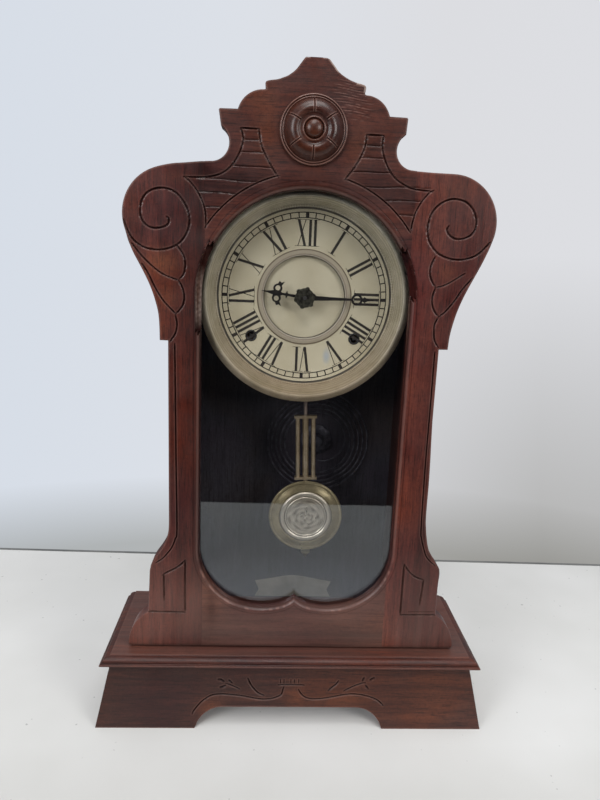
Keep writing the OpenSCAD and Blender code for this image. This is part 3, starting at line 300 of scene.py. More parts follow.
def shade_line(tree, surface):
    """The dark slit between the table and the wall, a little uneven."""
    base = ramp(tree, spots(tree, 20, 2), (0.3, paint(96, 98, 98)), (0.7, paint(122, 123, 122)))
    plug(tree, surface, Base_Color=base, Roughness=0.9)


slit_y = np.array([*(table_back[::-1] - 5), *(table_back - 0.5)] * 2)
slit_z = np.array([0.6] * 4 + [0.1] * 4)
slit = solid("wall_slit", grid(table_x, slit_y, slit_z), [slab], finish("slit_shade", shade_line))


# ---- Walnut boards of the door -------------------------------------------------------------
# The door is four walnut boards, stained dark red-brown and varnished, glued edge to edge. The
# saw gives its outline, and the grooves are cut with a V tool, with painted shade at the bottom
# and a faint painted highlight along their edges.
def times(tree, first, second, extra=0):
    """Two amounts multiplied, with an extra added on."""
    return wire(tree, "Math", {"operation": "MULTIPLY_ADD"}, i0=first, i1=second,
                i2=extra).outputs[0]


def worked(tree, name):
    """A point attribute of that name: carved (painted shade and dark marks), painted highlight
    and wear, bare, warm or plated.
    """
    return wire(tree, "Attribute", {"attribute_name": name}).outputs["Fac"]


def walnut(name, grain, dark, middle, light, gloss=0.42, scale=1.0):
    """Varnished walnut: long streaks along the grain, short dark pores, and slow cloudy
    changes of tone, with painted shade in the grooves and gaps and painted highlights with some
    wear along the edges, read from point attributes."""
    def wired(tree, surface):
        along = {"x": (0.05, 1, 1), "y": (1, 0.05, 1), "z": (1, 1, 0.05)}[grain]
        streak = spots(tree, 260 * scale, 5, along, 0.62, twist=0.3)
        cloud = spots(tree, 16 * scale, 2, along, 0.5)
        pores = spots(tree, 1500 * scale, 2, along, 0.5)
        weight = times(tree, cloud, 0.55, times(tree, streak, 0.45))
        tone = ramp(tree, weight, (0.34, paint(*dark)), (0.5, paint(*middle)),
                    (0.66, paint(*light)))
        patchy = ramp(tree, spots(tree, 11 * scale, 2), (0.36, paint(206, 178, 198)),
                      (0.5, paint(238, 236, 236)), (0.64, paint(255, 222, 180)))
        tone = mixed(tree, 0.9, tone, patchy, "MULTIPLY")
        tone = mixed(tree, worked(tree, "warm"), tone, paint(128, 72, 42))
        pore = ramp(tree, pores, (0.32, paint(140, 128, 130)), (0.46, paint(255, 255, 255)))
        tone = mixed(tree, 0.8, tone, pore, "MULTIPLY")
        fleck = ramp(tree, spots(tree, 420 * scale, 4, rough=0.7), (0.32, paint(206, 200, 204)),
                     (0.5, paint(240, 238, 238)), (0.68, paint(255, 252, 250)))
        tone = mixed(tree, 1, tone, fleck, "MULTIPLY")
        # Painted shade: nearly black where the carved amount is high, in the grooves, quirks, gaps
        # and along the door's foot, with a few real dark marks.
        cut = worked(tree, "carved")
        tone = mixed(tree, cut, tone, paint(20, 10, 10))
        # Painted highlight with some real wear: paler in patches along the edges.
        patch = mapped(tree, spots(tree, 140, 3, along), 0.2, 0.6, 0.35)
        tone = mixed(tree, times(tree, worked(tree, "painted_highlight_and_wear"), patch), tone, paint(168, 128, 116))
        fibre = ramp(tree, spots(tree, 500, 4, along), (0.3, paint(120, 92, 80)),
                     (0.7, paint(196, 180, 170)))
        tone = mixed(tree, worked(tree, "bare"), tone, fibre)
        shine = mapped(tree, spots(tree, 45, 4), 0.3, 0.7, gloss - 0.08, gloss + 0.1)
        plug(tree, surface, Base_Color=tone, Roughness=shine, Coat_Roughness=0.28,
             Specular_IOR_Level=mapped(tree, cut, 0, 1, 0.38, 0.38 / 12),
             Coat_Weight=mapped(tree, cut, 0, 1, 0.14, 0.14 / 12))
        bumped(tree, surface, streak, 0.0004, 0.35)
    return finish(name, wired)


carved_upright = walnut("carved_walnut_upright", "z", (48, 20, 17), (80, 36, 30), (110, 55, 44))
carved_level = walnut("carved_walnut_level", "x", (54, 26, 24), (82, 43, 37), (108, 61, 50))
rail_walnut = walnut("rail_walnut", "x", (54, 31, 27), (84, 51, 43), (114, 74, 62))


def arc(middle_x, middle_z, radius, start, end, step=1.0):
    """Points on an arc, in degrees, about a step apart."""
    count = max(3, int(abs(math.radians(end - start)) * radius / step) + 1)
    turn = np.radians(np.linspace(start, end, count))
    return np.stack([middle_x + radius * np.cos(turn), middle_z + radius * np.sin(turn)], -1)


def through(points, step=0.7):
    """A smooth line through the given points: each stretch is the cubic whose ends head from
    the point before to the point after."""
    points = np.asarray(points, float)
    ends = np.vstack([2 * points[0] - points[1], points, 2 * points[-1] - points[-2]])
    before, first, second, after = ends[:-3], ends[1:-2], ends[2:-1], ends[3:]
    count = max(3, int(np.linalg.norm(second - first, axis=1).max() / step))
    t = (np.arange(count) / count)[None, :, None]
    before, first, second, after = (part[:, None] for part in (before, first, second, after))
    bend = (2 * first + (second - before) * t
            + (2 * before - 5 * first + 4 * second - after) * t ** 2
            + (3 * first - before - 3 * second + after) * t ** 3) / 2
    return np.vstack([bend.reshape(-1, 2), points[-1]])


dial_z, foot_z, front, back = 379.5, 66.6, -37.5, -21.5
lip_r, rabbet_r, rabbet_foot, rabbet_y, seam = 85, 92, 98, -28.5, 82
stile_top, crest_foot, crest_tip = 481.85, 401.95, 559
lobe_x, lobe_z, lobe_r = 29.5, 159.8, 55.5
point_half, point_z, point_slope, point_bend = 12, 107.1, 0.33, 0.02875


def outline(flare, flank, shoulder, top, neck_x, lobe, ogee):
    """One side of the door's outline from the foot up: the foot's arc, the flare and stile, the
    flank, the round shoulder, the neck, the lobe, and the ogee up to the tip."""
    line = np.vstack([
        [[145.7, 66.6], [146.8, 67.1], [147.3, 68.2]], arc(110.5, 68.2, 36.8, 2, 59),
        through(flare[:-1], 2), flare[-1:], through(flank, 2), arc(*shoulder),
        through(np.vstack([top, [[85, 481.8], [neck_x, 482.3]]]), 2),
        arc(neck_x, 496.3, 14, 270, 123), [[72.2, 519.3], [71.4, 520.29], [58, 520.31]],
        arc(*lobe, 20, 16, 90), ogee, [[7.8, 558.95], [5, 559]]])
    return line[np.concatenate([[True], np.diff(np.maximum.accumulate(line[:, 1])) > 1e-4])]


outlines = {
    -1: outline([(127.8, 139), (127.2, 142.6), (126.2, 146.3), (123.2, 152.1), (119.6, 157.3),
                 (116, 163.3), (113.4, 169.2), (111.8, 174.8), (111.1, 180.4), (110.9, 188),
                 (110.9, 342.99)],
                [(117.6, 343.01), (117.9, 356.1), (118.8, 365.7), (121.1, 375.1), (124.2, 384.4),
                 (128.3, 393.6), (133, 402.7), (137.8, 411.7), (141.6, 420.7)],
                (109.2, 441, 36.7, -20, 70),
                [(121, 475.8), (115, 477.6), (107, 479.3), (98.8, 480.2)], 78, (38.6, 515),
                through([(37, 535.3), (37, 540.6), (28.3, 542.6), (24.4, 544), (20, 546),
                         (15, 550), (11.4, 554.6), (8.8, 558)])),
    1: outline([(129.2, 128.6), (129.4, 144), (125.4, 151), (122.1, 156.6), (118.6, 162.4),
                (116.7, 168.1), (115.5, 173.8), (114.5, 179.4), (113.8, 185.1), (113.2, 190.7),
                (112.9, 202), (112.9, 224.6), (112.5, 244.6), (111.9, 261.6), (111.3, 281.6),
                (111.3, 342.99)],
               [(118.7, 343.01), (119.5, 354.7), (121.3, 364.6), (123.8, 374.5), (127.2, 384.3),
                (131.4, 394.1), (135.9, 403.8), (140.4, 413.5), (144.3, 423.1), (146, 427.8)],
               (111.4, 443.5, 37.7, -15, 89), [(110, 481.25), (96, 481.4)], 79.1, (38.8, 514.7),
               through([(37.9, 535.3), (37.9, 541), (30, 543.3), (24.6, 545.3), (18.2, 549.1),
                        (14.6, 553), (11.4, 556.7), (10, 558.2)]))}


def from_line(x, z, line, reach=4.0):
    """The distance of each point from a line, and how far along the line its nearest spot is.
    Points further than the reach from the line's box get the reach."""
    gap, along = np.full(x.shape, reach), np.zeros(x.shape)
    low, high = line.min(0) - reach, line.max(0) + reach
    close = (x > low[0]) & (x < high[0]) & (z > low[1]) & (z < high[1])
    if not close.any():
        return gap, along, 0.0
    px, pz = x[close], z[close]
    best, spot, run = np.full(px.shape, reach), np.zeros(px.shape), 0.0
    for start, end in zip(line[:-1], line[1:]):
        step = end - start
        length = math.hypot(*step)
        if length == 0:
            continue
        part = np.clip(((px - start[0]) * step[0] + (pz - start[1]) * step[1]) / length ** 2, 0, 1)
        apart = np.hypot(px - start[0] - part * step[0], pz - start[1] - part * step[1])
        nearer = apart < best
        best[nearer], spot[nearer] = apart[nearer], run + part[nearer] * length
        run += length
    gap[close], along[close] = best, spot
    return gap, along, run


def from_opening(x, z):
    """How far outside the door's opening a point is: the arch about the dial, the straight
    sides, and the two lobes with the small point between them."""
    x = np.abs(x)
    t = point_half - x
    slope = point_slope + 2 * point_bend * t
    point = (point_z + point_slope * t + point_bend * t ** 2 - z) / np.sqrt(1 + slope ** 2)
    lobes = np.hypot(x - lobe_x, z - lobe_z) - lobe_r
    side = np.where(x < point_half, point, lobes)
    side = np.where(z > lobe_z, x - lip_r, side)
    return np.where(z > dial_z, np.hypot(x, z - dial_z) - lip_r, side)


# Each groove is (points, width, depth). Left and right were cut by hand and differ a little.
left_grooves = [
    ([(-145, 436.7), (-141.7, 427.8), (-137.2, 421.1), (-131.1, 416.7), (-125, 414.8),
      (-117.2, 414.4), (-109.4, 416.1), (-102.8, 419.4), (-97.8, 425), (-95, 431.1),
      (-93.9, 437.8), (-95, 444.4), (-97.2, 449.4), (-101.7, 455.6), (-107.2, 459.4),
      (-113.9, 460.9), (-120.6, 460), (-126.7, 456.7), (-130.6, 451.1), (-131.9, 444.4),
      (-131.1, 437.8), (-127.8, 433.3), (-122.8, 430.8), (-117.2, 431.1), (-112.2, 432.8),
      (-110, 435.6), (-110, 438.3), (-111.7, 439.8)], 2.3, 1.5),
    ([(-104.4, 418.9), (-100.6, 414.4), (-97.8, 408.9), (-97.2, 403.3), (-98.3, 396.7),
      (-101.7, 392.2)], 2.2, 1.4),
    ([(-138.9, 418.9), (-132.8, 411.1), (-125, 403.3), (-117.2, 397.2), (-110.6, 393.9),
      (-102.5, 391.4)], 2.0, 1.3),
    ([(-102.2, 391.1), (-99.4, 385.6), (-97.8, 378.9), (-98.9, 372.2), (-101.7, 367.8),
      (-104.4, 365)], 2.2, 1.4),
    ([(-131.1, 403.3), (-126.1, 395.6), (-120.6, 384.4), (-115, 375.6), (-109.4, 369.4),
      (-104.6, 364.6)], 2.0, 1.3),
    ([(-105, 363.9), (-103.9, 358.9), (-103.7, 354.4), (-105, 348.9), (-107.8, 344.4),
      (-109.8, 341.5)], 2.0, 1.3),
    ([(-105.5, 341), (-105.1, 300), (-104.6, 240), (-104, 180), (-105.5, 170), (-108.5, 162),
      (-113, 155.5), (-117, 151), (-122.5, 147.2)], 1.9, 1.3),
    ([(-97, 150.2), (-97, 100)], 2.5, 1.7),
    ([(-129, 100.1), (-96.8, 99.6)], 2.4, 1.5),
    ([(-96.8, 150.4), (-100, 146.5), (-105, 142.5), (-110, 139.7), (-114, 137.5),
      (-116.8, 135.6)], 2.4, 1.6),
    ([(-115.6, 136.2), (-115.5, 124), (-115.4, 111.5)], 2.5, 1.6)]
right_grooves = [
    ([(145.6, 431), (142.8, 427.8), (138.3, 422.8), (132.8, 418.9), (125, 416.4),
      (117.2, 416.1), (109.4, 417.8), (102.8, 421.1), (97.8, 426.7), (95, 432.2),
      (93.9, 440), (95, 447.8), (98.3, 454.4), (103.9, 459.4), (110.6, 462.2),
      (117.2, 462.2), (123.9, 460), (129.4, 454.4), (132.2, 447.8), (132.2, 441.1),
      (129.4, 436.1), (123.9, 432.8), (117.2, 432.2), (111.7, 435), (109.4, 438.9),
      (110.6, 442.2)], 2.3, 1.5),
    ([(101.7, 417.8), (98.9, 410), (98.9, 403.3), (101.1, 397.8), (103.9, 393.9)], 2.2, 1.4),
    ([(127.2, 405.6), (120.6, 401.1), (111.7, 395.6), (104, 393.4)], 1.8, 1.0),
    ([(103.9, 392.8), (102.2, 385.6), (102.8, 378.9), (105.6, 373.3), (108.9, 370)], 2.2, 1.4),
    ([(133.9, 402.2), (126.7, 393.3), (120.6, 383.3), (113.9, 374.4), (108.6, 369.8)], 2.0, 1.3),
    ([(108.3, 369.4), (105.9, 363.3), (105.9, 356.7), (107.2, 350), (110.6, 344.6)], 2.0, 1.3),
    ([(108.0, 341), (108.2, 300), (108.3, 240), (109.3, 185), (110.5, 175), (113, 166),
      (116, 158), (120, 153), (124.8, 149)], 1.7, 1.2),
    ([(97, 150), (97, 100.2)], 2.5, 1.7),
    ([(129, 100.1), (96.8, 99.8)], 2.4, 1.5),
    ([(97, 150), (100, 145), (104, 140.5), (109, 137), (115.8, 134.8)], 2.4, 1.5),
    ([(115.6, 135), (115, 124), (114, 110)], 2.5, 1.5),
    ([(127.5, 103.6), (104, 103.2)], 1.2, 0.5)]
crest_grooves = [
    ([(-55.6, 506.9), (-41.2, 506.9)], 2.0, 1.6),
    ([(-55.4, 507), (-53.4, 500), (-54.4, 493.8), (-56.9, 487.5), (-60.6, 481.3),
      (-66.3, 475.6), (-73.8, 471.9), (-85, 470), (-98.6, 469.8)], 1.9, 1.5),
    ([(-98.4, 470), (-93.9, 466.7), (-89.4, 461.7), (-85.6, 455.6), (-82.8, 448.9),
      (-81.4, 442.2), (-81.3, 432.4)], 1.8, 1.4),
    (arc(0, dial_z, 97.7, 147, 104.8, 4), 1.7, 1.4),
    ([(-41.7, 507), (-40.6, 500), (-38.8, 493.8), (-35.6, 487.5), (-31.9, 481.3),
      (-25.5, 472.2)], 1.9, 1.5),
    ([(40.8, 506.6), (54.2, 506.6)], 2.0, 1.6),
    ([(54.2, 506.8), (53.6, 500), (54.6, 493.8), (57.2, 487), (61, 480.6), (66.4, 475),
      (73.4, 471), (80.4, 468.6), (95.6, 467.2)], 1.9, 1.5),
    ([(96.6, 468.4), (92.8, 466.1), (87.2, 458.9), (83.3, 451.1), (81.1, 442.2),
      (80.3, 435.6)], 1.8, 1.4),
    (arc(0, dial_z, 97.7, 35, 74.6, 4), 1.7, 1.4),
    ([(41, 506.8), (40.6, 500), (38.6, 493.4), (35.4, 486.8), (31.4, 480.4), (25.8, 473)],
     1.9, 1.5)]
rungs = [(499.5, 41.2, 53.2), (490.5, 38, 55), (480, 32, 60.5), (469, 26.5, 92), (459, 53, 86),
         (448, 68, 82)]


# Where the varnish has gone thin and orange: (x, z, width, height, amount)
warm_places = [(-116, 404, 12, 9, 0.55), (-113, 378, 8, 10, 0.3), (-117, 352, 6, 8, 0.2),
               (-36, 507, 9, 26, 0.25), (-45, 528, 14, 8, 0.15), (34, 497, 10, 22, 0.2),
               (-138, 445, 6, 22, 0.12), (-104, 470, 12, 6, 0.12), (112, 405, 8, 8, 0.2),
               (110, 470, 16, 8, 0.12), (-108, 90, 22, 10, 0.12), (30, 90, 60, 10, 0.1)]


smudges = [(-82, 476, 6, 7, 0.7), (81, 458, 4, 24, 0.4), (-74, 112, 5, 26, 0.7)]


def patches(x, z, places):
    """Soft oval patches added up, from (x, z, width, height, amount) of each."""
    return sum(amount * np.exp(-((x - at_x) / wide) ** 2 - ((z - at_z) / high) ** 2)
               for at_x, at_z, wide, high, amount in places)


def ridge(distance, width):
    """1 on a line, falling evenly to 0 at a width on either side of it."""
    return np.clip(1 - np.abs(distance) / width, 0, 1)


def grooved(x, z, lines, face, y, dark, highlight_and_wear, ends=0.35, wavy=0, inside=0.95, beside=0.2):
    """Cuts V grooves, each (points, width, depth), into a face: they run out over 4 mm at their
    ends, may waver in depth, and get painted shade inside and a faint painted highlight along both
    edges."""
    for line, width, depth in lines:
        line = np.asarray(line, float)
        apart, along, run = from_line(x, z, through(line, 1.5) if len(line) > 2 else line)
        if run == 0:
            continue
        wave = 1 + wavy * (0.12 * np.sin(along * 0.45) + 0.06 * np.sin(along * 1.7))
        taper = np.clip(np.minimum(along, run - along) / 4 + ends, 0, 1) * wave
        cut = ridge(apart, width / 2 * np.sqrt(taper))
        y = np.maximum(y, face + depth * taper * cut ** 0.8)
        # Painted shade inside the groove, and a faint painted highlight beside it.
        dark = np.maximum(dark, np.clip(cut * 1.5, 0, 1) * inside)
        highlight_and_wear = np.maximum(highlight_and_wear, 0.2 * ridge(apart - width / 2 - beside, 0.5) * taper)
    return y, dark, highlight_and_wear


def worked_front(x, z):
    """The worked front of the door: a quarter-round moulding round the opening, broken off in
    two places, V grooves, a sunk field with scored lines beside the rosette, and rounded outer
    edges. Gives y, and the amounts of painted shade with dark marks, of painted highlight with
    wear, of bare wood and of warm tone."""
    gap = from_opening(x, z)
    y = np.full(x.shape, front, float)
    wide = 4.7 + 1.6 * np.clip((z - 430) / 35, 0, 1)
    inward = np.clip(1 - gap / wide, 0, 1)
    y += 4.9 * (1 - np.sqrt(np.clip(1 - inward ** 2, 0, 1)))
    quirk = ridge(gap - wide - 0.35, 0.75)
    y += 0.5 * quirk
    # Painted shade in the quirk beside the moulding.
    dark, highlight_and_wear, bare = 0.5 * quirk, np.zeros(x.shape), np.zeros(x.shape)
    ragged = 1.6 * np.sin(gap * 2.1 + 1) + 0.8 * np.sin(gap * 5.3)
    broken = ((x < 0) & (z > 350 + ragged) & (z < 421 - ragged)
              | (x > 0) & (z > 383 + ragged) & (z < 422 - ragged)) & (gap < 4.4)
    y = np.where(broken, front + 8.2 + 0.12 * np.sin(z * 0.6) * np.sin(z * 0.37 + gap), y)
    dark = np.where(broken, 0.3, dark)
    pale = np.clip((z - 352) / 14, 0, 1) * np.clip((404 - z) / 14, 0, 1) * (x < 0)
    bare = np.where(broken, pale * (0.5 + 0.2 * np.sin(z * 1.3) * np.sin(z * 0.31 + gap)), bare)
    y, dark, highlight_and_wear = grooved(x, z, left_grooves + right_grooves + crest_grooves, front, y, dark, highlight_and_wear,
                           wavy=1)
    size = np.abs(x)
    inside = np.interp(z, [471, 472.2, 481.3, 487.5, 493.8, 500, 507],
                       [24.8, 25.5, 31.6, 35.5, 38.7, 40.6, 41.4])
    outside = np.interp(z, [432, 435, 442, 448.9, 455.6, 461.7, 466.7, 469.7, 470, 471.9, 475.6,
                            481.3, 487.5, 493.8, 500, 507],
                        [80.6, 81, 81.3, 83, 85.8, 89.8, 94, 98, 85, 73.8, 66.3, 60.6, 56.9,
                         54.4, 53.4, 54.4])
    field = (z > 432) & (z < 506.5) & (size < outside - 0.4)
    field &= np.where(z > 472, size > inside + 0.4, np.hypot(x, z - dial_z) > 98.2)
    y = np.where(field, np.maximum(y, front + 0.35), y)
    for place, inner_x, outer_x in rungs:
        tilt = 0.03 * (size - 60) + 0.25 * np.sin(size * 0.2)
        score = ridge(z - place - tilt, 0.9)
        score *= field * (size > inner_x - 3) * (size < outer_x + 3)
        y = np.maximum(y, front + 0.35 + 0.8 * score)
        # Painted shade in the scored lines.
        dark = np.maximum(dark, 0.75 * score)
    dark = np.where(field, np.maximum(dark, 0.16), dark)
    fence = np.concatenate([outlines[-1][::-1] * [-1, 1], outlines[1]])
    edge, _, _ = from_line(x, z, fence, 2.0)
    round_r = 0.7
    lost = ridge(edge, round_r)
    y += round_r * (1 - np.sqrt(np.clip(1 - lost ** 2, 0, 1)))
    # Painted highlight, with some wear, along the rounded outer edge.
    highlight_and_wear = np.maximum(highlight_and_wear, 0.2 * ridge(edge - 0.8, 0.8))
    # Painted highlight along the moulding's lip, in patches near the foot.
    lip = ridge(gap - 1.8, 1.4) * ~broken
    highlight_patches = np.clip(np.sin(x * 0.9 + z * 0.5) + np.sin(x * 0.23 - z * 0.31) - 0.3, 0, 1)
    highlight_and_wear = np.maximum(highlight_and_wear, lip * np.where(z < 150, 0.1 + 0.35 * highlight_patches, 0.2))
    # Painted shade in a dark line where the wood meets the glass.
    dark = np.maximum(dark, 0.8 * ridge(gap - 0.3, 0.8))
    scuff = np.clip(1 - np.hypot((x - 29) / 17, (z - 531 + 0.35 * (x - 29)) / 15) ** 4, 0, 1)
    grain = np.sin(z * 3.3 + 0.9 * x / 3 + 1.4 * np.sin(x * 0.21 + z * 0.13))
    length = np.clip(np.sin(x * 0.31 + np.floor(z / 1.9) * 2.4) + 0.75, 0, 1)
    dark = np.maximum(dark, 0.55 * scuff * length * np.clip(grain - 0.2, 0, 1))
    highlight_and_wear = np.maximum(highlight_and_wear, 0.5 * scuff * length * np.clip(-grain - 0.55, 0, 1) * 2.2)
    bare = np.where((np.hypot(x - 35, z - 540) < 4.5) & (edge < 1.5), 0.6, bare)
    bare = np.where((x > 9) & (x < 17) & (edge < 1.1) & (z > 549), 0.5, bare)
    dark = np.maximum(dark, 0.7 * np.clip(patches(x, z, smudges), 0, 1))
    # Painted shadow in a line along the door's foot.
    lower = 0.8 * ridge(z - foot_z, 3.2)
    faded = np.clip((165 - z) / 50, 0, 1) * (0.14 + 0.04 * np.sin(x * 0.05) * np.sin(z * 0.07))
    highlight_and_wear = np.maximum(highlight_and_wear, faded)
    return y, {"carved": np.maximum(dark, lower), "painted_highlight_and_wear": highlight_and_wear, "bare": bare,
               "warm": np.clip(patches(x, z, warm_places), 0, 0.75)}


def with_wear_and_painted_light(made, amounts):
    """Puts the named amounts, such as painted shade in the grooves, painted highlight and wear on
    the edges and bare wood, on the joined points.
    """
    for name, values in amounts.items():
        layer = made.data.attributes.new(name, "FLOAT", "POINT")
        values = np.asarray(values, np.float32)[marks[made.name]]
        layer.data.foreach_set("value", values)


def padded(values, count):
    """The worked face's amounts with zeros for the plain points behind it, in one row."""
    return np.hstack([values, np.zeros((len(values), count))]).ravel()


def spread(first, last, lead, tail, count):
    """Places from first to last in each row: fixed steps at both ends and even ones between."""
    first, last = np.asarray(first)[:, None], np.asarray(last)[:, None]
    room_here = last - first
    scale = np.minimum(1, room_here / (lead[-1] + tail[-1] + 2))
    starts, ends = first + np.array(lead) * scale, last - np.array(tail[::-1]) * scale
    even = starts[:, -1:] + (ends[:, :1] - starts[:, -1:]) * np.linspace(0, 1, count + 2)[1:-1]
    return np.hstack([starts, even, ends])


lip_steps = [0, 0.35, 0.8, 1.3, 1.9, 2.6, 3.3, 4.0, 4.36, 4.44, 5.0, 5.5, 6.2, 7.0]
edge_steps = [0, 0.1, 0.35, 0.7, 1.1, 1.8]


def board(name, side, heights, inner, outer_x, open_at, lead, count):
    """A door board as rows of one section each: the worked front from its inner to its outer
    edge, then the plain back with the step for the glass. inner, outer_x and open_at give the
    half-widths of the front's edges and of the glass step at each height."""
    x = spread(inner, outer_x, lead, edge_steps, count)
    z = np.broadcast_to(heights[:, None], x.shape)
    y, amounts = worked_front(side * x, z)
    step_x = np.clip(open_at, inner, outer_x)
    behind = np.stack([grid(outer_x, back, heights), grid(step_x, back, heights),
                       grid(step_x, rabbet_y, heights), grid(inner, rabbet_y, heights)], 1)
    points = np.concatenate([grid(x, y, z), behind], 1)
    points[..., 0] *= side
    return points, {name: padded(values, 4) for name, values in amounts.items()}


def rows_between(low, high, sides, step=0.62):
    """Heights for a board's rows: even ones, and those of the outlines' own points."""
    even = np.linspace(low, high, int((high - low) / step) + 1)
    own = np.concatenate([outlines[side][:, 1] for side in sides])
    own = own[(own > low) & (own < high)]
    arch = dial_z + lip_r * np.sin(np.radians(np.arange(60, 91, 1.5)))
    rest = np.concatenate([even, arch[(arch > low) & (arch < high)]])
    rest = rest[np.abs(rest[:, None] - own[None]).min(1) > 0.2]
    made = np.unique(np.concatenate([rest, own]))
    return made[np.concatenate([[True], np.diff(made) > 0.015])]


def edge_at(side, z):
    """Half-width of one side of the door's outline at a height."""
    return np.interp(z, outlines[side][:, 1], outlines[side][:, 0])


def opening_at(z):
    """Half-width of the door's opening at a height, or 0 above the arch."""
    straight = np.where(z > dial_z, np.sqrt(np.clip(lip_r ** 2 - (z - dial_z) ** 2, 0, None)),
                        lip_r)
    lobe = lobe_x + np.sqrt(np.clip(lobe_r ** 2 - (z - lobe_z) ** 2, 0, None))
    return np.where(z < lobe_z, lobe, straight)


def rabbet_at(z):
    """Half-width of the step that holds the glass, or 0 where there is none."""
    arch = np.sqrt(np.clip(rabbet_r ** 2 - (z - dial_z) ** 2, 0, None))
    return np.where(z > dial_z, arch, np.where(z < rabbet_foot, 0, rabbet_r))


for side, name in ((-1, "left_stile"), (1, "right_stile")):
    z = rows_between(foot_z, stile_top, [side])
    z = np.unique(np.concatenate([z, [rabbet_foot - 0.01, rabbet_foot + 0.01]]))
    inner = np.maximum(opening_at(z), seam)
    points, amounts = board(name, side, z, inner, np.maximum(edge_at(side, z), seam), rabbet_at(z),
                            lip_steps, 72)
    rows, columns = points.shape[:2]
    stile = solid(name + "_carved", points.reshape(-1, 3), closed(rows, columns), carved_upright,
                  "door")
    with_wear_and_painted_light(stile, amounts)
    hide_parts(name)

z = rows_between(crest_foot, crest_tip, [-1, 1], 0.7)
z = np.unique(np.concatenate([z, [dial_z + lip_r, dial_z + rabbet_r]]))
halves, shades, nets = [], [], []
for side in (-1, 1):
    inner = np.where(z >= dial_z + lip_r, 0, opening_at(z))
    points, amounts = board("crest", side, z, np.minimum(inner, seam),
                            np.minimum(edge_at(side, z), seam), rabbet_at(z), lip_steps, 70)
    rows, columns = points.shape[:2]
    start = len(halves) * rows * columns
    quads, *caps = closed(rows, columns, start)
    row, column = np.divmod(quads[:, 0] - start, columns)
    middle = (z[row] >= dial_z + lip_r) & (column == columns - 1)
    middle |= (z[row] >= dial_z + rabbet_r) & (column >= columns - 3)
    halves.append(points.reshape(-1, 3))
    shades.append(amounts)
    nets += [group[:, ::side] for group in (quads[~middle], *caps)]
crest = solid("crest_carved", np.concatenate(halves), nets, carved_level, "door")
with_wear_and_painted_light(crest, {k: np.concatenate([shade[k] for shade in shades]) for k in shades[0]})
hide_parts("crest_board")


def rail_top(x):
    """Height of the opening's lower edge: two lobes with a small point between them."""
    x = np.abs(x)
    t = np.clip(point_half - x, 0, None)
    lobe = lobe_z - np.sqrt(lobe_r ** 2 - (np.clip(x, point_half, seam) - lobe_x) ** 2)
    return np.where(x < point_half, point_z + point_slope * t + point_bend * t ** 2, lobe)


x = np.linspace(-seam, seam, 300)
x = np.unique(np.concatenate([x, [0], seam - np.arange(0, 6, 0.3), np.arange(0, 6, 0.3) - seam]))
z = spread(rail_top(x) * -1, np.full(len(x), -foot_z), lip_steps, edge_steps, 66) * -1
across_x = np.broadcast_to(x[:, None], z.shape)
y, amounts = worked_front(across_x, z)
behind = np.stack([grid(x, back, foot_z), grid(x, back, rabbet_foot),
                   grid(x, rabbet_y, rabbet_foot), grid(x, rabbet_y, rail_top(x))], 1)
points = np.concatenate([grid(across_x, y, z), behind], 1)
rail = solid("rail_carved", points.reshape(-1, 3), closed(*points.shape[:2]), rail_walnut, "door")
with_wear_and_painted_light(rail, {name: padded(values, 4) for name, values in amounts.items()})
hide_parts("bottom_rail")


# ---- Rosette -------------------------------------------------------------------------------
# A turned walnut rosette glued over the dial: a bead rim, a swelling ring cut into six by
# short saw cuts, a flat, and a domed boss in a groove darkened with painted shade. It was
# polished before it was fixed.
def turned(profile, segments=240):
    """A profile of (radius, height) carried round the axis; gives radius, height and turn."""
    profile = np.asarray(profile, float)
    turn = np.arange(segments) * 2 * math.pi / segments
    shape = (segments, len(profile))
    return (np.broadcast_to(profile[:, 0], shape), np.broadcast_to(profile[:, 1], shape),
            np.broadcast_to(turn[:, None], shape))


def turned_net(segments, columns):
    """Quads of a turned surface, joined where it closes on itself."""
    a = np.arange(segments)[:, None] * columns
    b = np.arange(columns - 1)[None]
    c = (np.arange(segments)[:, None] + 1) % segments * columns
    return np.stack([a + b, a + b + 1, c + b + 1, c + b], -1).reshape(-1, 4)


def rings_at(radius, *rings):
    """Soft rings added up, from (radius, width, amount) of each."""
    return sum(amount * np.exp(-((radius - at_r) / wide) ** 2) for at_r, wide, amount in rings)


rosette_z, rosette_back = 507.7, front + 0.2
dome = through([(26, -0.2), (26, 1.8), (25.5, 2.7), (24.9, 2.9), (24.4, 2.5), (24.1, 2.5),
                (23.7, 3.0), (23.2, 3.1), (22.7, 2.8), (21.4, 4.6), (19.4, 7.2), (17, 9.1),
                (14.6, 9.8), (12.6, 9.5), (11.3, 8.8), (10.2, 8.5), (8.8, 8.6), (8.2, 8.9),
                (7.7, 8.6), (7.2, 7.8), (6.8, 8.0), (6.4, 9.2), (5.4, 10.6), (3.5, 11.5),
                (1.6, 11.9), (0, 12)], 0.35)
dome = np.vstack([[0, -0.2], dome])
radius, rise, turn = turned(dome, 300)
cuts = np.radians(np.array([91, 151, 215, 270, 327, 37]))
apart = np.abs((turn[..., None] - cuts + math.pi) % (2 * math.pi) - math.pi).min(-1) * radius
cut = ridge(apart, 0.6) * (radius > 11.6) * (radius < 21.8)
rise = rise - 0.9 * cut
y = np.where(rise < 0, rosette_back, rosette_back - rise)
points = np.stack([radius * np.cos(turn), y, rosette_z + radius * np.sin(turn)], -1)
polished = walnut("polished_walnut", "x", (56, 31, 27), (76, 46, 40), (98, 63, 54), 0.32)
rosette = solid("rosette_turned", points.reshape(-1, 3), [turned_net(300, len(dome))],
                polished, "door", 40)
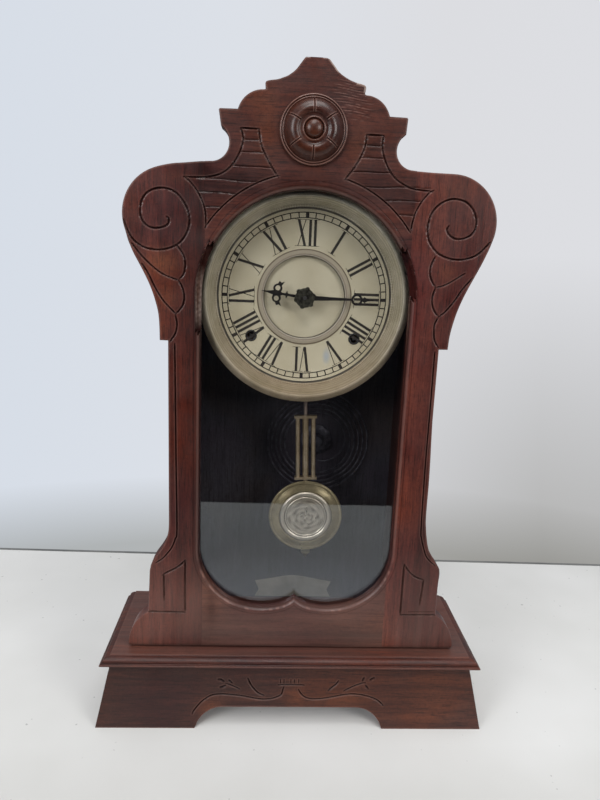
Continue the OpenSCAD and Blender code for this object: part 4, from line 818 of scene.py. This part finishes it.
# Painted shade in the grooves and saw cuts, and painted highlights on the beads and along the cuts'
# edges.
rings = rings_at(radius, (7.1, 0.35, 0.8), (24.2, 0.25, 0.6), (22.6, 0.3, 0.35), (11, 0.5, 0.3))
pale = rings_at(radius, (25.3, 0.4, 0.5), (23.4, 0.3, 0.45), (8.2, 0.3, 0.4))
pale = pale + rings_at(apart, (0.8, 0.3, 0.4)) * (radius > 11.8) * (radius < 21.5)
with_wear_and_painted_light(rosette, {"carved": np.clip(cut * 0.85 + rings, 0, 1).ravel(),
                    "painted_highlight_and_wear": np.clip(pale, 0, 1).ravel(),
                    "warm": (0.15 * (radius < 9)).ravel()})
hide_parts("rosette")


# ---- Case ----------------------------------------------------------------------------------
# A plain nailed box of stained boards behind the door, with a thin backboard. Glue blocks
# and the dial's blocks are left raw.
case_walnut = walnut("case_walnut", "z", (38, 20, 17), (54, 29, 24), (70, 40, 32), 0.5)
case_level = walnut("case_top_walnut", "y", (38, 20, 17), (54, 29, 24), (70, 40, 32), 0.5)
raw_board = walnut("inside_board", "z", (42, 41, 49), (56, 54, 63), (70, 67, 76), 0.62)
raw_block = walnut("raw_block", "x", (24, 20, 20), (36, 30, 29), (50, 42, 39), 0.7)


def dress(material, *names):
    """Gives CAD nodes a material in place of their plain one."""
    for name in names:
        mesh = nodes[name].data
        mesh.materials.clear()
        mesh.materials.append(material)


dress(case_walnut, "case_left_side", "case_right_side")
dress(case_level, "case_top")
dress(raw_board, "backboard")
dress(raw_block, "dial_blocks", "glue_blocks")


# ---- Metals --------------------------------------------------------------------------------
# Sheet and turned brass gone dull, lacquered pressed brass, nickel plate, drawn steel wire
# and blued spring steel. Each has fine scratches, a patchy film and its own dull spots.
def metal(name, colour, stain, gloss, patch=60, film=0.5, grain=(1, 1, 1)):
    """Worn metal: a clean and a stained tone in soft patches, with rougher stained spots and
    fine scratches in the bump."""
    def wired(tree, surface):
        cloud = spots(tree, patch, 4, rough=0.6)
        tone = ramp(tree, cloud, (0.35, paint(*stain)), (0.35 + 0.4 * (1 - film) + 0.1,
                                                         paint(*colour)))
        shine = mapped(tree, cloud, 0.3, 0.7, gloss + 0.18, gloss)
        plug(tree, surface, Base_Color=tone, Metallic=1, Roughness=shine)
        bumped(tree, surface, spots(tree, 1800, 3, grain), 0.00005, 0.4)
    return finish(name, wired)


dull_brass = metal("dull_brass", (176, 142, 82), (118, 92, 56), 0.38)
steel = metal("worn_steel", (150, 150, 150), (96, 92, 88), 0.3)
spring_steel = metal("blued_spring", (66, 68, 82), (46, 42, 44), 0.34)
dress(dull_brass, "door_hinge_leaves", "case_hinge_leaves", "catch_tongue", "front_plate",
      "back_plate", "minute_wheel", "hour_wheel", "time_great_wheel", "second_wheel",
      "centre_wheel", "third_wheel", "escape_wheel", "strike_great_wheel", "pin_wheel",
      "strike_third_wheel", "fly")
dress(steel, "hinge_pins", "pillars", "movement_screws", "time_winding_arbor",
      "strike_winding_arbor", "verge", "suspension_post", "centre_arbor", "hammer")
dress(spring_steel, "catch_spring", "mainsprings")


# ---- Glass ---------------------------------------------------------------------------------
# One sheet of old window glass, held by a thin bead of wood pressed in behind it. The lower
# half mirrors the pale table.
def window(tree, surface):
    """Clear thin glass: almost all light goes straight on, the rest is a faint mirror."""
    tree.nodes.remove(surface)
    out = next(node for node in tree.nodes if node.type == "OUTPUT_MATERIAL")
    slant = wire(tree, "LayerWeight", Blend=0.5).outputs["Facing"]
    steep = wire(tree, "Math", {"operation": "POWER"}, i0=slant, i1=4.0).outputs[0]
    share = mapped(tree, steep, 0, 1, 0.13, 0.8)
    film = ramp(tree, spots(tree, 14, 4), (0.3, (0.56, 0.61, 0.69, 1)), (0.7, (0.65, 0.7, 0.77, 1)))
    mirror = wire(tree, "BsdfGlossy", Color=film, Roughness=0.0)
    clear = wire(tree, "BsdfTransparent", Color=(1, 1, 1, 1))
    both = wire(tree, "MixShader", i0=share, i1=clear.outputs[0], i2=mirror.outputs[0])
    plug(tree, out, Surface=both.outputs[0])


dress(finish("old_window_glass", window), "door_glass")
dress(carved_level, "glass_beads")


# ---- Base ----------------------------------------------------------------------------------
# A flat board with a moulded edge lies on a skirt of four sloping boards, mitred at the
# corners. The mould is a quarter round, a fine bead and a square fillet at the bottom.
board_half, board_front, board_rear = 168.9, -57.0, 61.0
mould = np.vstack([
    [[9.4, 65.1], [8.6, 65.1], [8.15, 64.95], [7.9, 64.4]],
    np.stack([7.7 - 5.3 * np.sin(np.radians(np.linspace(0, 90, 10))),
              60.9 + 3.3 * np.cos(np.radians(np.linspace(0, 90, 10)))], -1),
    [[2.2, 60.5], [2.35, 60.3], [1.4, 60.2], [1.1, 59.9], [1.05, 59.5], [0.3, 59.3], [0.02, 59.0],
     [0.0, 58.2], [0.25, 57.75], [0.6, 57.7]]])
side_run, depth_run = np.linspace(-1, 1, 120)[:-1], np.linspace(0, 1, 50)[:-1]
track = np.vstack([grid(side_run, 0, 0), grid(1, depth_run, 0), grid(-side_run, 1, 0),
                   grid(-1, 1 - depth_run, 0)])
inset, level = mould[:, :1], mould[:, 1:]
x = (board_half - inset) * track[:, 0]
y = (board_front + inset) + (board_rear - board_front - inset) * track[:, 1]
points = grid(x, y, level)
columns = points.shape[1]
moulded = walnut("base_walnut", "x", (50, 22, 16), (82, 39, 28), (114, 62, 45), 0.5)
plinth = solid("base_moulding", points.reshape(-1, 3), closed(*points.shape[:2]), moulded, "case",
               28)
# Painted highlight on the mould's top edge and bottom fillet, and painted shade in its quirks.
painted_light_and_shade = np.interp(mould[:, 0], [0, 0.3, 0.7, 1.0, 8, 8.3, 8.8], [0.1, 0.1, 0.05, 0, 0, 0.3, 0.14])
quirk_shade = np.interp(mould[:, 1], [57.7, 60.15, 60.35, 60.6, 64.3, 64.7, 65.1],
                  [0.1, 0.1, 0.8, 0, 0, 0.6, 0])
with_wear_and_painted_light(plinth, {"carved": np.repeat(quirk_shade, columns), "painted_highlight_and_wear": np.repeat(painted_light_and_shade, columns)})
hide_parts("base_board_top")

apron_walnut = walnut("apron_walnut", "x", (42, 21, 16), (66, 35, 27), (92, 54, 40), 0.5)
dress(walnut("side_apron_walnut", "y", (42, 21, 16), (66, 35, 27), (92, 54, 40), 0.5),
      "side_aprons")
apron_top, apron_front, apron_back, apron_rake, apron_half = 57.7, -48.9, -38.9, 11.9, 172.7
mitre, corner_x = 150.8, 148
cut_middle, cut_half, cut_high, cut_r = -1.5, 84.5, 19.0, 25.0


def apron_lines():
    """Carved lines of the skirt: long scrolls, two crescents, leaf sprays and a middle line,
    in millimetres across and up the sloping face."""
    drawn = [
        ([(-87.8, 13.5), (-85.9, 17.3), (-80.8, 23.7), (-74.4, 28.8), (-69.2, 31), (-61.5, 31.7),
          (-50, 30.8), (-42.3, 29.9), (-33.3, 28.2), (-25.6, 27.3), (-17.9, 27.8), (-11.5, 29.9),
          (-8.7, 32), (-7.4, 36.5), (-6.7, 39)], 1.7, 1.1),
        ([(83.3, 22.4), (78.2, 26.9), (70.5, 30.1), (61.5, 32), (53.8, 32.4), (46.2, 31.4),
          (38.5, 29.9), (28.2, 28.2), (19.2, 27.8), (14.1, 28.8), (10.3, 30.8), (7.7, 34),
          (6.4, 36.5)], 1.7, 1.1),
        ([(-39.1, 46.2), (-37.2, 41.7), (-34, 37.2), (-29.5, 32.9), (-24.4, 30.8)], 1.9, 1.2),
        ([(42.3, 44.5), (40.4, 41.4), (35.9, 37.8), (33.3, 35.3)], 1.9, 1.2),
        ([(-46.2, 36.5), (-53.8, 39.7), (-59, 41.4)], 1.6, 1.0),
        ([(47.4, 35.3), (53.8, 38.5), (61.5, 41.7), (66.7, 43)], 1.6, 1.0),
        ([(-60.5, 43.2), (-62.8, 44.6), (-65.4, 44.9)], 2.6, 1.1),
        ([(-58.8, 39.6), (-60.9, 38.5), (-63.5, 37.9)], 2.6, 1.1),
        ([(-53, 41.6), (-54.6, 43), (-55.8, 44.4)], 2.4, 1.1),
        ([(64, 44.6), (65.4, 47.4)], 2.6, 1.1), ([(67, 40.2), (69.2, 37.8)], 2.6, 1.1),
        ([(71, 45.5), (74.4, 47.4)], 2.6, 1.1),
        ([(-12, 40.4), (0, 40.7), (11.5, 40.4)], 1.5, 1.0)]
    drawn += [([(place, 41.6), (place, 45.4)], 1.4, 0.9) for place in (-10, -6.7, -0.6, 2.6, 6.4)]
    return [(np.array(line) * [1, 0.975] - [0, 0.9], wide, deep) for line, wide, deep in drawn]


def cut_out(x):
    """Height of the skirt's lower edge: flat feet, then an arch with rounded shoulders."""
    into = cut_half - np.abs(x - cut_middle)
    curve = cut_high - cut_r + np.sqrt(np.clip(cut_r ** 2 - np.clip(cut_r - into, 0, cut_r) ** 2,
                                               0, None))
    return np.where(into <= 0, 0, np.maximum(curve, 0))


def apron_y(z):
    """The skirt's face, which leans out towards the foot."""
    return apron_front - (apron_top - z) / apron_top * apron_rake


ends = cut_middle + cut_half * np.array([-1, 1])
u = np.concatenate([np.linspace(-apron_half, ends[0] - 0.01, 120), ends[:1] + 0.01,
                    np.linspace(ends[0] + 0.4, ends[1] - 0.4, 330), ends[1:] - 0.01,
                    np.linspace(ends[1] + 0.01, apron_half, 120)])
low_z = cut_out(u)
share = np.concatenate([[0, 0.006, 0.015, 0.03], np.linspace(0.05, 0.985, 84), [0.993, 1]])
z = low_z[:, None] + (apron_top - low_z[:, None]) * share
reach = (apron_half - apron_rake * z / apron_top - corner_x) / (apron_half - corner_x)
x = np.broadcast_to(u[:, None], z.shape)
x = np.where(np.abs(x) > corner_x, np.sign(x) * (corner_x + (np.abs(x) - corner_x) * reach), x)
y, dark, highlight_and_wear = grooved(x, z, apron_lines(), apron_y(z), apron_y(z), np.zeros(z.shape),
                       np.zeros(z.shape), ends=0.4, inside=0.9, beside=0.3)
highlight_and_wear = np.maximum(highlight_and_wear, 0.3 * ridge(z - low_z[:, None], 1.0))
# Painted shadow in a band along the top, under the moulding's overhang.
dark = np.maximum(dark, 0.55 * ridge(apron_top - z, 3))
inner_x = np.sign(u) * np.minimum(np.abs(u), mitre)
behind = np.stack([grid(inner_x, apron_back, apron_top), grid(inner_x, apron_back, low_z)], 1)
points = np.concatenate([grid(x, y, z), behind], 1)
apron = solid("front_apron_carved", points.reshape(-1, 3), closed(*points.shape[:2]), apron_walnut,
              "case")
warm = patches(x, z, [(45, 26, 26, 8, 0.3), (4, 28, 9, 9, 0.25), (-72, 18, 12, 8, 0.35),
                      (130, 25, 22, 16, 0.15)])
with_wear_and_painted_light(apron, {"carved": padded(dark, 2), "painted_highlight_and_wear": padded(highlight_and_wear, 2), "warm": padded(warm, 2)})
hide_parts("front_apron")


# ---- Dial ----------------------------------------------------------------------------------
# A pressed tin pan with printed paper glued on, sunk in the middle. The paper has browned and
# carries a bluish stain and a small dark spot. The nickel bezel ring is pressed with beads.
def distance(tree, place, point, stretch=(1, 1, 1)):
    """How far a place is from a point, both in metres, once the axes are stretched."""
    laid = wire(tree, "VectorMath", {"operation": "MULTIPLY"}, i0=place, i1=stretch).outputs[0]
    aim = np.multiply(point, stretch).tolist()
    return wire(tree, "VectorMath", {"operation": "DISTANCE"}, i0=laid, i1=aim).outputs["Value"]


def aged_paper(tree, surface):
    """Cream paper gone grey-brown, with cloudy foxing, a bluish stain and tiny specks."""
    place = wire(tree, "TexCoord").outputs["Object"]
    base = ramp(tree, spots(tree, 28, 4), (0.3, paint(206, 196, 168)), (0.7, paint(228, 220, 194)))
    far = distance(tree, place, (0.0215, 0, 0.329), (2, 1, 1))
    stain = mapped(tree, far, 0.002, 0.0085, 0.8, 0)
    base = mixed(tree, stain, base, paint(186, 196, 206))
    far = distance(tree, place, (0.0262, 0, 0.374))
    burn = mapped(tree, far, 0.0006, 0.0014, 0.8, 0)
    base = mixed(tree, burn, base, paint(60, 50, 44))
    fleck = ramp(tree, spots(tree, 900, 1), (0.74, paint(255, 255, 255)),
                 (0.78, paint(150, 120, 90)))
    plug(tree, surface, Base_Color=mixed(tree, 0.5, base, fleck, "MULTIPLY"), Roughness=0.75,
         Specular_IOR_Level=0.25)
    bumped(tree, surface, spots(tree, 1200, 3), 0.00005, 0.3)


def plating(tree, surface):
    """Nickel plate gone dull, with a painted brown reflection of the wood that grows towards the
    foot, and fine lines from spinning and painted shade between the beads read from an attribute."""
    cloud = spots(tree, 60, 4, rough=0.6)
    tone = ramp(tree, cloud, (0.35, paint(206, 200, 178)), (0.6, paint(230, 224, 206)))
    height = wire(tree, "SeparateXYZ", i0=wire(tree, "TexCoord").outputs["Object"]).outputs["Z"]
    # Painted reflection of the wood: the plate turns browner towards the foot.
    brown = ramp(tree, mapped(tree, height, 0.29, 0.47), (0, paint(212, 196, 180)),
                 (0.45, paint(244, 240, 234)), (1, paint(255, 255, 255)))
    tone = mixed(tree, 1, tone, brown, "MULTIPLY")
    tone = mixed(tree, worked(tree, "carved"), tone, paint(104, 90, 74))
    shine = mapped(tree, cloud, 0.3, 0.7, 0.52, 0.38)
    plug(tree, surface, Base_Color=tone, Metallic=0.2, Roughness=shine)
    bumped(tree, surface, spots(tree, 1800, 3), 0.00005, 0.4)


paper = finish("aged_paper", aged_paper)
nickel = finish("nickel_plate", plating)
tin = metal("tin_plate", (150, 148, 142), (110, 104, 96), 0.4)
dress(paper, "dial_paper", "centre_paper")
dress(tin, "dial_pan")
dress(steel, "dial_screws")


def blacking(tree, surface):
    """Black enamel or ink, a little uneven and worn brown."""
    base = ramp(tree, spots(tree, 300, 4), (0.3, paint(16, 15, 16)), (0.75, paint(38, 34, 32)))
    plug(tree, surface, Base_Color=base, Roughness=0.42)
    bumped(tree, surface, spots(tree, 2500, 2), 0.00003, 0.3)


black = finish("black_enamel", blacking)
dress(black, "grommets")


def printing(tree, surface):
    """Printer's ink, thin enough in places for the paper to show through."""
    base = ramp(tree, spots(tree, 700, 4), (0.35, paint(34, 31, 30)), (0.8, paint(70, 62, 54)))
    plug(tree, surface, Base_Color=base, Roughness=0.6)


ink = finish("printed_ink", printing)
print_back, print_front = -0.29, -0.36


def strokes(outlines):
    """Thin flat plates from outlines of four points each: front and back faces and their
    edges, as whole arrays."""
    flat = np.asarray(outlines, float)
    count = len(flat)
    front_side = np.stack([flat[..., 0], np.full(flat.shape[:2], print_front), flat[..., 1]], -1)
    back_side = front_side.copy()
    back_side[..., 1] = print_back
    points = np.concatenate([front_side, back_side], 1).reshape(-1, 3)
    box = np.array([[0, 1, 2, 3], [7, 6, 5, 4], [0, 4, 5, 1], [1, 5, 6, 2], [2, 6, 7, 3],
                    [3, 7, 4, 0]])
    return points, (box[None] + 8 * np.arange(count)[:, None, None]).reshape(-1, 4)


def upright(u, span, wide, lean=0.0):
    """A stroke of a numeral: its middle at the foot, its two ends, its width and its lean."""
    low, high = span
    return [(u - wide / 2, low), (u + wide / 2, low), (u + lean + wide / 2, high),
            (u + lean - wide / 2, high)]


def numeral(letters):
    """Strokes of a Roman numeral, each letter thick and thin bars with fine serifs, standing
    on the inner circle and centred across."""
    low, high, thick, thin, serif = 42.9, 64.9, 2.3, 0.7, 0.42
    full, foot, head = (low, high), (low, low + serif), (high - serif, high)
    widths = {"I": 4.2, "V": 9.6, "X": 10.0}
    bars = {"I": [(0, full, thick), (0, foot, 7.4), (0, head, 7.4)],
            "V": [(0, full, thick, -3.1), (0.7, full, thin, 2.9), (-3.1, head, 6.4),
                  (3.5, head, 5.0)],
            "X": [(2.9, full, thick, -5.8), (-3.1, full, thin, 6.2), (2.9, foot, 6.2),
                  (-3.1, foot, 5.0), (-2.9, head, 6.2), (3.1, head, 5.0)]}
    place, drawn = -sum(widths[letter] for letter in letters) / 2, []
    for letter in letters:
        middle = place + widths[letter] / 2
        drawn += [upright(middle + aside, *bar) for aside, *bar in bars[letter]]
        place += widths[letter]
    return np.array(drawn)


def round_dial(u, v, turn):
    """Points across and up from the dial's middle, turned clockwise about it."""
    return np.stack([u * np.cos(turn) + v * np.sin(turn),
                     dial_z - u * np.sin(turn) + v * np.cos(turn)], -1)


marks_made = []
for hour, letters in enumerate(("XII", "I", "II", "III", "IIII", "V", "VI", "VII", "VIII", "IX",
                                "X", "XI")):
    drawn = numeral(letters)
    marks_made.append(round_dial(drawn[..., 0], drawn[..., 1], math.radians(30 * hour)))
minute = np.arange(60)
tick_half = np.where(minute % 5 == 0, 1.4, 0.48)[:, None]
marks_made.append(round_dial(tick_half * [-1, 1, 1, -1], np.array([66.35, 66.35, 70.6, 70.6]),
                             np.radians(minute * 6)[:, None]))
step = math.radians(1.5)
corner_t = (np.arange(240) * step)[:, None] + np.array([0, step, step, 0])
for inner_r, outer_r in ((65.8, 66.6), (70.3, 71.1)):
    marks_made.append(round_dial(0, np.array([inner_r, inner_r, outer_r, outer_r]), corner_t))
points, quads = strokes(np.concatenate(marks_made))
figures = solid("dial_figures", points, [quads], ink, "case")

bezel_line = through([(75.2, 0), (78.2, 0), (80.6, 8.2), (82.8, 16.4), (84.2, 16.4), (88.2, 12.6),
                      (88.55, 0)], 1.2)
bezel_back = [(88.9, 0), (89.15, 0.4), (89.15, 13.4), (88.8, 14.1)]
bezel_face = through([(88.2, 14.9), (86.6, 16.7), (84.6, 18.6), (83.4, 19.1), (82.4, 19.0),
                      (81.6, 18.0), (80.8, 15.2), (79.6, 11), (78.2, 6.2), (77.2, 3.1)], 0.8)
bead_line = through([(77.2, 3.1), (76.9, 2.5), (76.5, 2.6), (76.0, 2.9), (75.4, 2.5), (75.05, 1.4)],
                    0.2)
ring_line = np.vstack([bezel_line, bezel_back, bezel_face, bead_line[1:],
                       [[75.2, 0]]])
radius, rise, turn = turned(ring_line, 672)
beads = (radius < 77.1) & (rise > 1.0)
rise = rise - np.where(beads, 0.5 * (1 - np.abs(np.cos(turn * 112))), 0)
points = np.stack([radius * np.cos(turn), -rise, dial_z + radius * np.sin(turn)], -1)
bezel = solid("bezel_turned", points.reshape(-1, 3), [turned_net(672, len(ring_line))],
              nickel, "case", 50)
spinning_lines_and_shade = rings_at(radius, *((at_r, 0.16, 0.5) for at_r in (77.6, 78.5, 79.4, 80.6)),
                (81.9, 0.25, 0.5))
# Painted shade in the hollows between the beads.
spinning_lines_and_shade = spinning_lines_and_shade + 0.4 * beads * (0.5 - 0.5 * np.cos(turn * 224))
with_wear_and_painted_light(bezel, {"carved": np.clip(spinning_lines_and_shade * (rise > 1), 0, 1).ravel()})
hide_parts("bezel")


def ring_plating(tree, surface):
    """Nickel ring with a dark seam outside, and at its inner edge painted shade and a painted
    highlight on the bead, by distance from its middle."""
    far = distance(tree, wire(tree, "TexCoord").outputs["Object"], (0, 0, dial_z / 1000), (1, 0, 1))
    place = mapped(tree, far, 0.035, 0.0408)
    # Painted shade at the inner edge and a painted highlight on the bead just outside it.
    tone = ramp(tree, place, (0.0, paint(84, 74, 66)), (0.1, paint(222, 214, 196)),
                (0.24, paint(150, 134, 120)), (0.34, paint(196, 184, 164)),
                (0.78, paint(190, 180, 158)), (0.9, paint(108, 92, 80)), (1, paint(170, 158, 136)))
    plug(tree, surface, Base_Color=tone, Metallic=0.3, Roughness=0.45)
    bumped(tree, surface, spots(tree, 1500, 3), 0.00004, 0.3)


dress(finish("ring_plating", ring_plating), "centre_ring")
dress(black, "minute_hand", "hour_hand")
dress(metal("blackened_nut", (122, 120, 108), (50, 47, 44), 0.34, 330), "hand_nut")


# ---- Pendulum ------------------------------------------------------------------------------
# A steel wire rod with a ring that clears the hands, a false gridiron of brass and plated
# rods, and a bob of pressed brass: a beaded rim, a plated ring and a raised flower.
lean, pivot_z, bob_drop, swing_y = math.radians(2.2), 430.0, 254.6, 7.5
dress(metal("rod_wire", (176, 160, 150), (128, 114, 106), 0.4), "pendulum_rod")
dress(metal("nut_brass", (204, 204, 180), (150, 142, 116), 0.34, 45), "rating_nut")


def hung(points):
    """Turns points drawn about the upright pendulum by its lean about the pivot."""
    x, y, z = points[..., 0], points[..., 1], points[..., 2] - pivot_z
    return np.stack([x * math.cos(lean) - z * math.sin(lean), y,
                     pivot_z + x * math.sin(lean) + z * math.cos(lean)], -1)


bob_line = np.vstack([[[0, -4]], [[26.4, -4], [27, -3.9], [32.4, -1.1], [34.4, -0.6], [34.6, -0.2]],
                      through([(34.6, 0.3), (34.1, 1.0), (33.3, 1.25), (32.6, 1.05), (31.9, 0.9),
                               (30.8, 1.1), (29.4, 1.5), (27.6, 2.1), (25.8, 2.6), (25.0, 2.7),
                               (24.6, 2.5), (24.2, 2.9), (23.2, 3.7), (22.1, 3.95), (21, 3.8),
                               (20.1, 3.2), (19.7, 2.7), (19.3, 3.0), (18.8, 3.3), (18.3, 3.0),
                               (17.9, 2.8), (15, 2.9), (12, 2.95), (9, 3.0), (6, 3.0), (3, 3.0),
                               (0, 3.0)], 0.42)])
radius, rise, turn = turned(bob_line, 432)
face = rise > 0.2
rise = rise + 0.05 * np.sin(radius * 5.2) * face * (radius > 25.4) * (radius < 32)
relief = (0.5 * np.sin(3 * turn + 0.85 * radius + 0.8 * np.sin(2 * turn - 0.4 * radius))
          + 0.45 * np.sin(5 * turn - 1.25 * radius + 1.3 * np.sin(radius * 0.5 + 2 * turn))
          + 0.4 * np.sin(9 * turn + 1.9 * radius) * np.sin(1.6 * radius))
inside = face * np.clip((17.6 - radius) / 0.6, 0, 1) * np.clip(radius / 2, 0, 1)
rise = np.minimum(rise + 0.26 * relief * inside, 4.0)
points = hung(np.stack([radius * np.cos(turn), swing_y - rise,
                        pivot_z - bob_drop + radius * np.sin(turn)], -1))


def bob_metal(tree, surface):
    """Pale brass, darker in the grooves and the hollows of the relief, with a plated
    middle, told apart by attributes.
    """
    cloud = spots(tree, 60, 4, rough=0.6)
    tone = ramp(tree, cloud, (0.32, paint(138, 126, 98)), (0.66, paint(176, 164, 132)))
    tone = mixed(tree, worked(tree, "plated"), tone, paint(206, 198, 184))
    tone = mixed(tree, worked(tree, "carved"), tone, paint(84, 74, 60))
    shine = mapped(tree, cloud, 0.3, 0.7, 0.42, 0.26)
    plug(tree, surface, Base_Color=tone, Metallic=0.85, Roughness=shine)
    bumped(tree, surface, spots(tree, 1500, 3), 0.00005, 0.3)


bob = solid("bob_pressed", points.reshape(-1, 3), [turned_net(432, len(bob_line))],
            finish("bob_brass", bob_metal), "pendulum", 60)
plated = np.clip((24.4 - radius) * 3, 0, 1) * face
# Darker in the grooves and in the hollows of the relief.
groove_darkening = rings_at(radius, (19.7, 0.3, 0.8), (24.7, 0.35, 0.7), (17.9, 0.3, 0.6), (31.9, 0.4, 0.35))
groove_darkening = groove_darkening + 0.5 * np.clip(0.2 - relief, 0, 1) * inside
with_wear_and_painted_light(bob, {"plated": plated.ravel(), "carved": np.clip(groove_darkening * face, 0, 1).ravel()})
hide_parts("bob")
dress(metal("gridiron_brass", (206, 190, 166), (158, 142, 116), 0.4), "gridiron")


# ---- Gong ----------------------------------------------------------------------------------
# A flat coil of black iron wire on a turned iron post, screwed to the backboard. The hammer
# strikes its outer turn.
gong_x, gong_z, gong_y, wire_r = 20.0, 238.0, 44.0, 0.75
lead_knots, coil_knots, knot_angle, first_angle = 15, 120, 15, 200
lead_r, first_r, coil_gap = 9, 29.6, 4.2
knots = np.arange(0, lead_knots + coil_knots + 0.01, 0.25)
leading = lead_r + (first_r - lead_r) * np.sin(np.radians(90 * knots / lead_knots))
winding = first_r + coil_gap * (knots - lead_knots) * knot_angle / 360
coil_r = np.where(knots < lead_knots, leading, winding)
coil_t = np.radians(first_angle + knot_angle * knots)
middle = grid(gong_x + coil_r * np.cos(coil_t), gong_y, gong_z + coil_r * np.sin(coil_t))


def tube(middle, radius, sides=12):
    """A round wire along a line: each ring stands square to the line's heading there, in the
    heading's own flat plane and across it."""
    heading = np.gradient(middle, axis=0)
    heading /= np.linalg.norm(heading, axis=1)[:, None]
    over = np.array([0, 1, 0])
    beside = np.cross(heading, over)
    beside /= np.linalg.norm(beside, axis=1)[:, None]
    over = np.cross(beside, heading)
    turn = np.arange(sides) * 2 * math.pi / sides
    ring = (middle[:, None] + radius * (np.cos(turn)[None, :, None] * beside[:, None]
                                        + np.sin(turn)[None, :, None] * over[:, None]))
    return ring.reshape(-1, 3), closed(len(middle), sides)


def black_iron(tree, surface):
    """Oil-blacked iron wire, dark blue-grey in soft patches."""
    base = ramp(tree, spots(tree, 220, 4), (0.35, paint(44, 44, 52)), (0.75, paint(92, 90, 98)))
    plug(tree, surface, Base_Color=base, Metallic=0.6, Roughness=0.42)
    bumped(tree, surface, spots(tree, 1500, 2), 0.00004, 0.4)


iron = finish("blacked_iron", black_iron)
points, faces = tube(middle, wire_r)
gong = solid("gong_wire", points, faces, iron, "case", 60)
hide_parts("gong_coil")
dress(iron, "gong_block")


# ---- Label ---------------------------------------------------------------------------------
# A paper label pasted low on the backboard, with cut-in ends; its place is left blank.
def faded_label(tree, surface):
    """Pale paper with soft mottled patches like water marks."""
    base = ramp(tree, spots(tree, 60, 4), (0.3, paint(124, 118, 106)), (0.7, paint(154, 148, 134)))
    plug(tree, surface, Base_Color=base, Roughness=0.8)


dress(finish("faded_label", faded_label), "paper_label")
